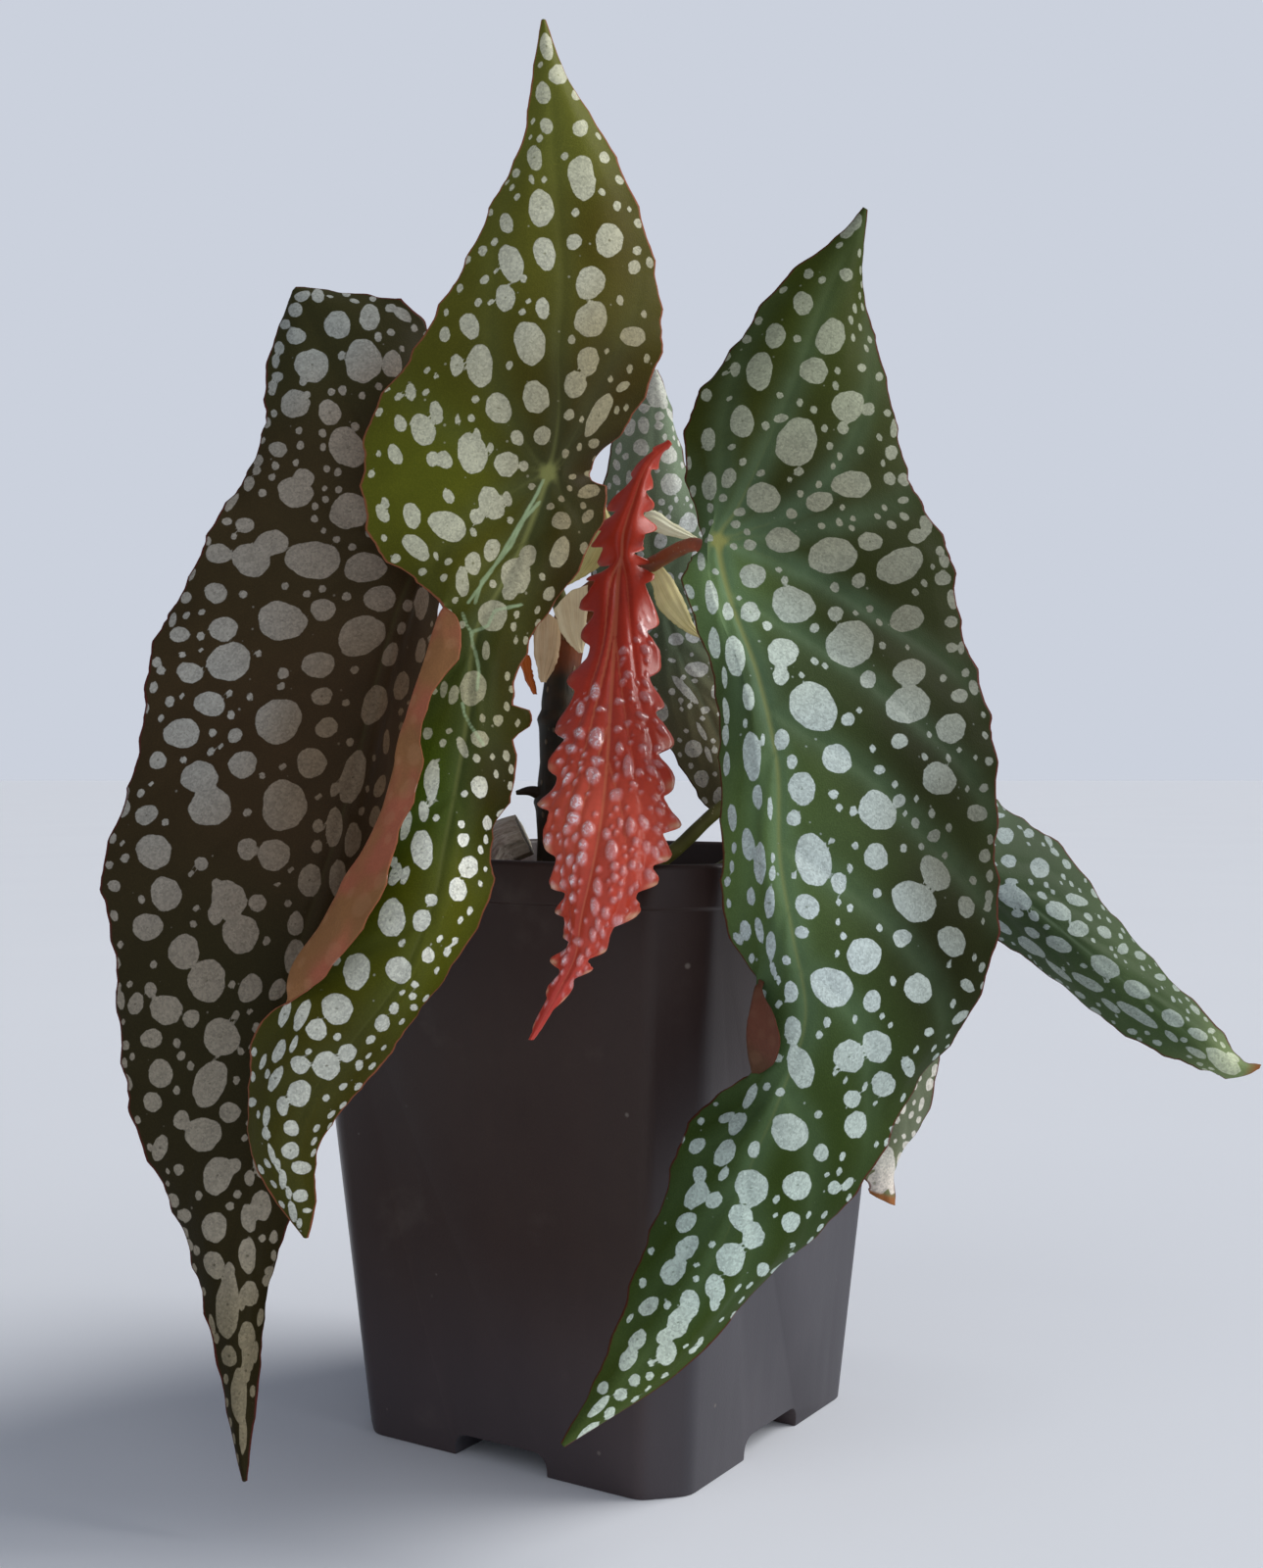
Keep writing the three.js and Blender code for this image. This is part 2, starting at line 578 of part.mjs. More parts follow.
// The cane, thicker at its rings and with two thorn-like scars, base first.
const CANE = [
  [-13, 1, SOIL_TOP - CANE_HOLE_DEPTH, CANE_RADIUS],
  [-13, 1, 118, CANE_RADIUS],
  [-12.6, 0.6, 132, 4],
  [-12.6, 0.4, 141, 4.6],
  [-12.2, 0.2, 150, 3.9],
  [-11.6, 0, 160, 4.6],
  [-11, 0, 170, 3.9],
  [-9.8, 0, 180, 4.4],
  [-9, 0, 187, 2.6],
];
const SCARS = [
  [[-14, 0, 142, 2], [-18, -1, 143.6, 1.2], [-21.5, -1.6, 143.2, 0.5]],
  [[-10, 0, 160, 2], [-7, 1, 162, 1.2], [-5.4, 1.4, 164, 0.5]],
];
const STUB = [
  [-27.6, 3, SOIL_TOP - STUB_HOLE_DEPTH, 4.6],
  [-27.5, 2.8, 118, 4.8],
  [-25.6, 2.2, 130.4, 5.2],
  [-19.8, 1.8, 133.4, 4.8],
];

// A petiole ends square to the underside of its leaf, a small gap short of it.
function petiole({ leaf, meets, way }) {
  const { point, out } = bladePoint(LEAVES[leaf], meets, 0);
  const short = LEAVES[leaf].thickness + LEAVES[leaf].rib + 5 * FIT_GAP;
  const end = point.clone().addScaledVector(out, -short);
  const before = end.clone().addScaledVector(out, -PETIOLE_STRAIGHT);
  const knots = [...way, before.toArray(), end.toArray()];
  const thick = knots.map((k, i) => [...k, PETIOLE_RADIUS - PETIOLE_TAPER * (i / knots.length - 0.5)]);
  return limb(thick, PETIOLE_SIDES, 2 * knots.length);
}

function caneGeometry() {
  let body = solid(limb(CANE, CANE_SIDES, 24));
  for (const scar of SCARS) body = body.add(solid(limb(scar, SCAR_SIDES, 4)));
  for (const one of PETIOLES) body = body.add(solid(petiole(one)));
  return geometryOf(body);
}

// ---------- the plant ----------

const plant = new THREE.Group();
const stems = [
  { at: CANE[0], radius: CANE_HOLE_RADIUS, depth: CANE_HOLE_DEPTH },
  { at: STUB[0], radius: STUB_HOLE_RADIUS, depth: STUB_HOLE_DEPTH },
];
plant.add(
  piece("pot", potGeometry(), COLOURS.pot, 0.5),
  piece("soil", soilGeometry(stems), COLOURS.soil, 0.95),
  piece("cane", caneGeometry(), COLOURS.cane, 0.5),
  piece("old_stub", limb(STUB, STUB_SIDES, 8, STUB_RIDGE), COLOURS.stub, 0.9),
);
for (const [name, leaf] of Object.entries(LEAVES)) {
  plant.add(piece(name, bladeGeometry(leaf), LEAF_COLOURS[name], 0.4));
}
const STIPULES = {
  stipule_ivory: [STIPULE_IVORY, COLOURS.ivory],
  stipule_tan: [STIPULE_TAN, COLOURS.tan],
  stipule_rust: [STIPULE_RUST, COLOURS.rust],
  stipule_pale: [STIPULE_PALE, COLOURS.pale],
  stipule_hanging: [STIPULE_HANGING, COLOURS.yellowGreen],
  stipule_green: [STIPULE_GREEN, COLOURS.yellowGreen],
};
for (const [name, [rows, colour]] of Object.entries(STIPULES)) {
  const paper = leafFrom(rows, {
    columns: SMALL_COLUMNS,
    thickness: PAPER,
    rib: 0,
    ripple: 0,
    tooth: 0,
  });
  plant.add(piece(name, bladeGeometry(paper), colour, 0.7));
}

// The box of the whole plant stands centred over the origin.
const middle = new THREE.Box3().setFromObject(plant, true).getCenter(new THREE.Vector3());
plant.position.set(-middle.x, -middle.y, 0);
const group = new THREE.Group();
group.add(plant);

export default group;
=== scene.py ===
"""A potted polka dot begonia: spotted leaves, one young red leaf, a cane with its petioles
and papery sheaths, an old stub, soil and a square nursery pot.

Places are in millimetres round the pot's upright middle line, front towards -Y, and are
moved to the frame's place when a mesh is written. Spots are in pixels of the photograph."""
import math

import bmesh
import bpy
import numpy as np
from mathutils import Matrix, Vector, kdtree, noise


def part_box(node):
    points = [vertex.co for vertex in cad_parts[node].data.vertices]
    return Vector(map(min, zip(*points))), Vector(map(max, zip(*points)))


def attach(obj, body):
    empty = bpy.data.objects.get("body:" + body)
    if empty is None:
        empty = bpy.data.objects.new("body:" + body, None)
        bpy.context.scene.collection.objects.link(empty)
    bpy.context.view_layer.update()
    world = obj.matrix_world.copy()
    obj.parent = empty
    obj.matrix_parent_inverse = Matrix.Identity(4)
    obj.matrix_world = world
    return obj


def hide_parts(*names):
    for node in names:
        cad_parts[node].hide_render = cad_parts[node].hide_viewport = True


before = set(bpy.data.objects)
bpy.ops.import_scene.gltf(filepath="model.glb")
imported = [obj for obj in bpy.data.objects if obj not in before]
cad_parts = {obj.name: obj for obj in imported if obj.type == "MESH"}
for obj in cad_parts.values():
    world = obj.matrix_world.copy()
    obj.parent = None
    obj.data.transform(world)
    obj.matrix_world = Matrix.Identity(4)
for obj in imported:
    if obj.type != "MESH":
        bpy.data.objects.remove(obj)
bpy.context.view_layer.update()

MM = 0.001
pot_low, pot_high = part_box("pot")
AXIS = np.array([(pot_low.x + pot_high.x) / 2, (pot_low.y + pot_high.y) / 2, 0]) / MM

# ---------- the camera ----------

PHOTO_WIDTH = 1289
PHOTO_HEIGHT = 1600
FOCAL_PX = 1845.6
HORIZON_PX = 787.6  # the row of the photograph at the camera's height
CAMERA_AT = np.array([5.25, -420.7, 148.06])
SENSOR_MM = 36


def in_photo(points):
    """Where points fall in the photograph, and how many mm a pixel spans there."""
    away = points - CAMERA_AT
    depth = away[..., 1]
    x = PHOTO_WIDTH / 2 + FOCAL_PX * away[..., 0] / depth
    y = HORIZON_PX - FOCAL_PX * away[..., 2] / depth
    return x, y, depth / FOCAL_PX


def to_frame(points):
    return (np.asarray(points, float) + AXIS) * MM


# ---------- materials ----------


def shade(red, green, blue):
    """A colour as read on a screen, 0 to 255 by the sRGB curve, as Blender keeps it."""
    linear = []
    for value in (red, green, blue):
        share = value / 255
        linear.append(share / 12.92 if share <= 0.04045 else ((share + 0.055) / 1.055) ** 2.4)
    return (*linear, 1.0)


class Value:
    """A shader socket that takes part in arithmetic."""

    def __init__(self, finish, socket):
        self.finish = finish
        self.socket = socket

    def maths(self, operation, first, second):
        return self.finish.node("Math", {0: first, 1: second}, operation=operation)

    def __add__(self, other):
        return self.maths("ADD", self, other)

    def __sub__(self, other):
        return self.maths("SUBTRACT", self, other)

    def __rsub__(self, other):
        return self.maths("SUBTRACT", other, self)

    def __mul__(self, other):
        return self.maths("MULTIPLY", self, other)

    __radd__ = __add__
    __rmul__ = __mul__


class Finish:
    """A material under way."""

    def __init__(self, name, **steady):
        self.material = bpy.data.materials.new(name)
        self.material.use_nodes = True
        self.tree = self.material.node_tree
        self.shader = self.tree.nodes["Principled BSDF"]
        for socket, value in steady.items():
            self.shader.inputs[socket.replace("_", " ")].default_value = value
        self.place = self.node("TexCoord", output="Object")

    def node(self, kind, sockets=None, output=0, **settings):
        made = self.tree.nodes.new("ShaderNode" + kind)
        for name, value in settings.items():
            setattr(made, name, value)
        for name, value in (sockets or {}).items():
            self.feed(made.inputs[name], value)
        return Value(self, made.outputs[output])

    def feed(self, socket, value):
        if isinstance(value, Value):
            self.tree.links.new(value.socket, socket)
        else:
            socket.default_value = value

    def attribute(self, name, output="Fac"):
        return self.node("Attribute", output=output, attribute_name=name)

    def attributes(self, *names):
        return [self.attribute(name) for name in names]

    def noise(self, size, detail, where=None):
        """Cloudy noise, 0 to 1, whose features are about size mm across."""
        sockets = {"Vector": where or self.place, "Scale": 1 / (size * MM), "Detail": detail}
        return self.node("TexNoise", sockets)

    def noise_on(self, across, down, scale):
        """Cloudy noise laid over a piece by two painted values."""
        where = self.node("CombineXYZ", {0: across, 1: down, 2: 0.0})
        return self.node("TexNoise", {"Vector": where, "Scale": scale, "Detail": 4.0})

    def cells(self, size, output="Distance", where=None):
        """Cells about size mm across: how far each point is from its cell's middle."""
        sockets = {"Vector": where or self.place, "Scale": 1 / (size * MM)}
        return self.node("TexVoronoi", sockets, output)

    def chance(self, size):
        """A random value for each of the cells of that size, 0 to 1."""
        return self.node("SeparateColor", {0: self.cells(size, "Color")})

    def step(self, value, low, high):
        """A soft step: 0 where value is at low, 1 where it is at high."""
        sockets = {"Value": value, "From Min": low, "From Max": high}
        return self.node("MapRange", sockets, interpolation_type="SMOOTHSTEP")

    def mix(self, factor, first, second, blend="MIX"):
        sockets = {0: factor, 6: first, 7: second}
        return self.node("Mix", sockets, 2, data_type="RGBA", blend_type=blend)

    def lit(self, colour, value):
        """The colour made lighter or darker by a value round 1."""
        grey = self.node("CombineColor", {0: value, 1: value, 2: value})
        return self.mix(1.0, colour, grey, "MULTIPLY")

    def larger(self, first, second):
        return self.node("Math", {0: first, 1: second}, operation="MAXIMUM")

    def stretched(self, x, y, z, turn=(0, 0, 0)):
        """Object coordinates scaled, so that a pattern runs longer one way."""
        return self.node("Mapping", {"Vector": self.place, "Scale": (x, y, z), "Rotation": turn})

    def bump(self, height, distance, strength):
        """Fine relief: a height of 1 stands distance mm out."""
        sockets = {"Height": height, "Distance": distance * MM, "Strength": strength}
        self.feed(self.shader.inputs["Normal"], self.node("Bump", sockets))

    def close(self, **sockets):
        for name, value in sockets.items():
            self.feed(self.shader.inputs[name.replace("_", " ")], value)
        return self.material


MARGIN_RED = shade(92, 38, 34)
DRY_BROWN = shade(150, 98, 58)
STREAK_PALE = shade(180, 204, 160)
# A painted sheen: paler blue-green laid along the veins, standing in for light reflected there.
SHEEN = shade(112, 142, 112)
FLECK_CELL, SPOT_CELL, LEAF_CELL, UNDER_CELL = 2.1, 0.4, 0.34, 0.5  # mm across


def leaf_top(name, vein_colour, gloss, shine, margin=MARGIN_RED):
    """The upper face: a mottled ground, silver spots, pale veins and a thin dark margin. Its tone
    and silver carry painted shade and light besides the leaf's own colours.
    """
    made = Finish(name, Specular_IOR_Level=shine)
    tone_and_shading, silver_and_shading = (made.attribute(layer, "Color") for layer in ("tone_and_shading", "silver_and_shading"))
    spot, heart, vein, edge, dry = made.attributes("spot", "heart", "vein", "edge", "dry")
    wobble = made.noise(1.3, 3.0) - 0.5
    ground_noise = made.noise(7.0, 4.0)
    cell = made.cells(LEAF_CELL)
    # ground, with painted shade and light in its tone
    ground = made.lit(tone_and_shading, 0.76 + 0.3 * ground_noise + 0.3 * cell)
    # painted sheen along the veins
    ground = made.mix(made.attribute("sheen") * (0.2 + 0.5 * ground_noise), ground, SHEEN)
    ground = made.mix(made.step(vein, 0.25, 1.0) * 0.75, ground, vein_colour)
    # flecks between the spots
    fleck = made.step(made.cells(FLECK_CELL) + 0.6 * made.chance(FLECK_CELL), 0.2, 0.1)
    # spots, with painted shade and light in their silver
    mask = made.step(spot + 0.45 * wobble, 0.1, -0.1)
    speck = made.chance(SPOT_CELL)
    cloud = made.noise(2.6, 3.0)
    face = made.lit(silver_and_shading, 0.64 + 0.4 * speck + 0.32 * cloud)
    face = made.mix(made.step(heart + 0.5 * wobble, 0.42, 0.12) * 0.6, face, tone_and_shading)
    colour = made.mix(made.larger(mask, fleck * 0.5), ground, face)
    # pale lines near the base
    streak = made.step(made.attribute("streak") + 2 * wobble, 2.6, 0.6)
    colour = made.mix(streak * (0.2 + 0.6 * cloud), colour, STREAK_PALE)
    # margin and dry tip
    line = made.step(edge + 0.5 * wobble, 0.62, 0.18)
    colour = made.mix(line * 0.85, colour, margin)
    colour = made.mix(dry, colour, DRY_BROWN)
    made.bump(cell + 0.6 * made.noise(0.9, 2.0) + 0.3 * mask, 0.06, 0.5)
    rough = gloss + 0.12 * ground_noise - 0.04 * mask + 0.25 * dry
    return made.close(Base_Color=colour, Roughness=rough)


def leaf_under(name, *colours):
    """The underside: dusky, with a warmer blush in patches and raised, paler veins."""
    made = Finish(name, Specular_IOR_Level=0.2)
    colour, vein_colour, blush = (shade(*one) for one in colours)
    vein, spot, dry = made.attributes("vein", "spot", "dry")
    cloud = made.noise(9.0, 4.0)
    cell = made.cells(UNDER_CELL)
    base = made.mix(made.step(made.noise(15.0, 2.0), 0.4, 0.62), colour, blush)
    base = made.lit(base, 0.72 + 0.4 * cloud + 0.16 * cell)
    base = made.mix(made.step(spot, 0.4, -0.4) * 0.22, base, vein_colour)
    base = made.mix(made.step(vein, 0.2, 0.9) * 0.6, base, vein_colour)
    base = made.mix(dry, base, DRY_BROWN)
    made.bump(cell + made.noise(1.4, 3.0), 0.08, 0.5)
    return made.close(Base_Color=base, Roughness=0.46 + 0.2 * cloud)


# ---------- shared shape helpers ----------


def read(piece):
    places = np.empty(len(piece.data.vertices) * 3, np.float32)
    piece.data.vertices.foreach_get("co", places)
    return places.reshape(-1, 3).astype(float)


def write(piece, points):
    piece.data.vertices.foreach_set("co", to_frame(points).astype(np.float32).ravel())
    piece.data.update()


def paint(piece, name, values):
    """Keeps a value or a colour for each vertex, for the materials to read."""
    values = np.asarray(values, np.float32)
    if values.ndim == 1:
        layer = piece.data.attributes.new(name, "FLOAT", "POINT")
        layer.data.foreach_set("value", values)
    else:
        layer = piece.data.attributes.new(name, "FLOAT_COLOR", "POINT")
        layer.data.foreach_set("color", values.ravel())


def fresh(name):
    """The primitive that was just added, under its own name."""
    piece = bpy.context.object
    piece.name = piece.data.name = name
    return piece


def begin(name, add, **settings):
    """A new primitive from one of the operators that add them."""
    bpy.ops.object.select_all(action="DESELECT")
    add(**settings)
    return fresh(name)


def edit(select, kind=None):
    """Goes into edit mode, with all selected or nothing."""
    bpy.ops.object.mode_set(mode="EDIT")
    bpy.ops.mesh.select_all(action=select)
    if kind:
        bpy.ops.mesh.select_mode(type=kind)


def close_edit():
    bpy.ops.object.mode_set(mode="OBJECT")


def alone(piece):
    bpy.ops.object.select_all(action="DESELECT")
    piece.select_set(True)
    bpy.context.view_layer.objects.active = piece


def apply(piece, kind, **settings):
    alone(piece)
    modifier = piece.modifiers.new(kind.title(), kind)
    for name, value in settings.items():
        setattr(modifier, name, value)
    bpy.ops.object.modifier_apply(modifier=modifier.name)


def smooth(piece, degrees=None):
    alone(piece)
    if degrees is None:
        bpy.ops.object.shade_smooth()
    else:
        bpy.ops.object.shade_smooth_by_angle(angle=math.radians(degrees))


def keep(piece, slot, *nodes):
    """The piece rides with the plant and stands for nodes; slot is not used."""
    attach(piece, "root")
    if nodes:
        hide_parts(*nodes)
    return piece


def along(points, x):
    """A smooth run through the points: 0 at the first, len - 1 at the last."""
    points = np.asarray(points, float)
    last = len(points) - 1
    x = np.asarray(x, float)
    i = np.clip(np.floor(x).astype(int), 0, last - 1)
    t = (x - i).reshape(x.shape + (1,) * (points.ndim - 1))
    a, b, c, d = (points[np.clip(i + n, 0, last)] for n in (-1, 0, 1, 2))
    return b + 0.5 * t * (c - a + t * (2 * a - 5 * b + 4 * c - d + t * (3 * (b - c) + d - a)))


def unit(vectors):
    length = np.linalg.norm(vectors, axis=-1, keepdims=True)
    return vectors / np.maximum(length, 1e-9)


def part(values):
    return np.clip(values, 0, 1)


def bell(gap, wide):
    """1 where there is no gap, and nearly 0 from twice wide on."""
    return np.exp(-(gap / wide) ** 2)


# ---------- the tables of the blades ----------

# Each leaf is a list of lines across it, from the tip of its upper lobe to its lower tip.
# A line gives its left edge, its rib and its right edge. A line of four points has a fold
# between its left edge and its rib.
LEFT_LEAF = [
    [[-67.5, -32.5, 251], [-67, -33, 251.4], [-66.6, -32.5, 252]],
    [[-70, -33, 244], [-64, -36, 246], [-60, -31, 252]],
    [[-72, -36, 231], [-59, -39, 235], [-48, -31, 250]],
    [[-73, -38, 220], [-54, -42, 225], [-40, -31, 244]],
    [[-77, -40, 208], [-48, -44, 215], [-35, -31, 230]],
    [[-83, -42, 198], [-43, -45, 204], [-33, -34, 213]],
    [[-89, -44, 185], [-39, -46, 195], [-35, -40, 196]],
    [[-93, -46, 175], [-43, -50, 182], [-35, -36, 187]],
    [[-95, -48, 160], [-47, -53, 167], [-37, -37, 170]],
    [[-98, -50, 145], [-50, -57, 152], [-42, -43, 150]],
    [[-102, -52, 129], [-54, -60, 136], [-44, -49, 131]],
    [[-100, -54, 114], [-59, -62, 120], [-47, -51, 116]],
    [[-98, -57, 95], [-64, -64, 103], [-53, -53, 98]],
    [[-94, -60, 80], [-67, -65, 86], [-58, -56, 80]],
    [[-88, -63, 66], [-69, -68, 69], [-62, -60, 66]],
    [[-81, -66, 51], [-70, -70, 53], [-65, -64, 50]],
    [[-76, -69, 38], [-70, -72, 38], [-67, -67, 36]],
    [[-73, -72, 24], [-70, -74, 24], [-68, -71, 23]],
    [[-69.5, -74.5, 12], [-69, -75, 12], [-68.5, -74.5, 12]],
]
CENTRE_LEAF = [
    [[-13.5, -44.5, 304], [-13, -45, 304], [-12.5, -44.5, 304]],
    [[-15, -44, 295], [-12, -46, 295], [-9, -43, 295]],
    [[-17, -45, 280], [-11, -48, 280], [-1, -43, 281]],
    [[-24, -46, 265], [-10, -50, 265], [6, -42, 266]],
    [[-31, -47, 249], [-9, -52, 248], [11, -41, 250]],
    [[-39, -48, 235], [-10, -54, 234], [11, -41, 236]],
    [[-48, -50, 221], [-10, -53, 220], [5, -42, 222]],
    [[-49, -53, 206], [-12, -52, 209], [-3, -45, 211]],
    [[-46, -56, 193], [-16, -54, 197], [0, -47, 204]],
    [[-37, -60, 186], [-21, -60, 185], [-6, -51, 189]],
    [[-28, -68, 175], [-33, -64, 176], [-26, -62, 175], [-14, -55, 176]],
    [[-34, -72, 160], [-37, -67, 161], [-27, -66, 160], [-19, -59, 163]],
    [[-35, -76, 146], [-41, -69, 146], [-29, -70, 146], [-18, -62, 146]],
    [[-40, -79, 135], [-45, -71, 134], [-31, -74, 134], [-22, -66, 135]],
    [[-42, -85, 123], [-53, -74, 120], [-33, -79, 123], [-23, -71, 123]],
    [[-52, -84, 110], [-59, -76, 110], [-39, -82, 109], [-31, -75, 108]],
    [[-65, -77, 100], [-57, -83, 100], [-47, -83, 98], [-38, -77, 98]],
    [[-68, -77, 88], [-61, -83, 89], [-54, -83, 89], [-47, -77, 88]],
    [[-67, -78, 76], [-63, -82, 78], [-59, -82, 77], [-54, -77, 77]],
    [[-62, -77, 66], [-58, -79, 66], [-55, -76, 66]],
    [[-57.5, -75.5, 59], [-57, -76, 59], [-56.5, -75.5, 59]],
]
RIGHT_LEAF = [
    [[54.6, -34.5, 268.4], [55, -35, 268], [55.6, -34.5, 267.8]],
    [[49, -34, 262], [52, -36, 260], [55, -33, 259]],
    [[37, -36, 251], [46, -40, 247], [56, -32, 246]],
    [[26, -40, 237], [40, -45, 231], [59, -34, 232]],
    [[18, -44, 223], [33, -49, 215], [63, -35, 217]],
    [[17, -48, 208], [27, -52, 202], [66, -37, 205]],
    [[19, -53, 195], [23, -55, 195], [72, -40, 194]],
    [[16, -59, 186], [25, -61, 182], [74, -44, 180]],
    [[21, -66, 169], [30, -69, 167], [77, -49, 164]],
    [[22, -72, 151], [33, -77, 150], [79, -54, 150]],
    [[23, -78, 133], [33, -84, 133], [79, -58, 132]],
    [[24, -82, 117], [35, -90, 118], [77, -62, 116]],
    [[32.4, -97, 100], [27.4, -91, 101], [37, -92, 103], [71, -66, 99]],
    [[22, -87, 88], [32, -95, 89], [60, -71, 86]],
    [[14, -89, 80], [27, -96, 78], [50, -78, 73]],
    [[9, -89, 64], [22, -96, 64], [40, -82, 61]],
    [[4, -90, 49], [14, -95, 50], [27, -86, 50]],
    [[-2, -91, 36], [4, -94, 37], [12, -90, 37]],
    [[-7.6, -93.5, 26.4], [-7.2, -94, 26], [-6.8, -93.5, 25.6]],
]
BACK_LEAF = [
    [[10.5, 11.5, 244], [11, 11, 244], [11.5, 11.5, 244]],
    [[6, 12, 237], [11, 9, 236], [15, 12, 235]],
    [[0, 14, 222], [10, 9, 222], [19, 16, 221]],
    [[-3, 16, 207], [9, 11, 207], [25, 20, 206]],
    [[-4, 20, 193], [11, 14, 193], [32, 24, 193]],
    [[0, 24, 178], [16, 18, 178], [39, 29, 178]],
    [[8, 27, 164], [23, 22, 164], [43, 32, 161]],
    [[18, 29, 150], [30, 26, 149], [43, 33, 147]],
    [[26, 30, 138], [34, 28, 138], [41, 32, 137]],
    [[36.5, 29.5, 130], [37, 29, 130], [37.5, 29.5, 130]],
]
FAR_LEAF = [
    [[52.6, 8, 159.6], [53, 8, 160], [53.4, 8, 160.4]],
    [[54, 14, 147], [58, 5, 151], [65, 12, 156]],
    [[60, 17, 138], [66, 6, 141], [77, 20, 149]],
    [[75, 20, 125], [78, 8, 131], [89, 25, 144]],
    [[86, 23, 113], [89, 9, 123], [99, 27, 139]],
    [[99, 25, 105], [100, 11, 116], [110, 27, 130]],
    [[113, 25, 93], [113, 13, 106], [122, 27, 115]],
    [[127, 23, 84], [128, 15, 94], [135, 26, 102]],
    [[141, 22, 77], [142, 17, 83], [147, 24, 87]],
    [[151, 21, 73], [152, 19, 76], [154, 22, 78]],
    [[158.8, 21, 75.5], [159, 21, 76], [159.2, 21, 76.5]],
]
LOW_LEAF = [
    [[60.5, -28.5, 145], [61, -29, 145], [61.5, -28.5, 145]],
    [[54, -38, 140], [59, -38, 140], [66, -30, 138]],
    [[48, -44, 129], [57, -41, 129], [72, -31, 126]],
    [[46, -43, 115], [58, -42, 115], [77, -30, 112]],
    [[46, -43, 100], [59, -42, 100], [76, -30, 98]],
    [[47, -42, 86], [59, -42, 86], [71, -31, 84]],
    [[51, -41, 74], [59, -42, 74], [67, -32, 72]],
    [[54.9, -40, 63], [58, -41, 64], [62.2, -35.4, 63.4]],
    [[55.6, -38.6, 58.9], [58.6, -38.8, 57.3], [61.2, -37.4, 56]],
]
RED_LEAF = [
    [[13.4, -12, 223], [14, -12.5, 222.6], [14.4, -12, 222]],
    [[7.5, -14, 217.5], [8.8, -15, 217], [10, -14, 216.5]],
    [[2, -17, 207.5], [5.5, -19, 208], [8.5, -17, 208.5]],
    [[-2.4, -19, 200], [3.4, -21.5, 201], [8.4, -19, 201.5]],
    [[0.2, -20.2, 194.6], [3, -21.8, 195.4], [6.2, -20.4, 195.8]],
    [[-3.4, -22, 189], [2.2, -22.5, 190.5], [8.4, -22, 190.5]],
    [[-3.6, -30, 177], [1.6, -32.5, 177], [9, -30, 177]],
    [[-7.2, -42, 164], [0.8, -45.5, 163.5], [10.2, -43, 163.5]],
    [[-9.6, -55, 150.5], [0.2, -60, 150.5], [11.6, -57, 151]],
    [[-11, -65, 139], [-0.8, -71, 139.5], [12.2, -69, 140]],
    [[-9.5, -72, 128.5], [-2.5, -77.5, 130], [10, -77, 130.5]],
    [[-7.5, -76, 120.5], [-4.5, -80, 121], [5, -80, 122.5]],
    [[-7.5, -79, 113.5], [-5.5, -81, 113.5], [-1.5, -81, 114]],
    [[-10, -81, 107], [-8.5, -82.5, 107], [-6.5, -82, 107.5]],
    [[-14, -83, 98], [-13.5, -83.5, 98], [-13, -83, 98]],
]

# ---------- the spots ----------

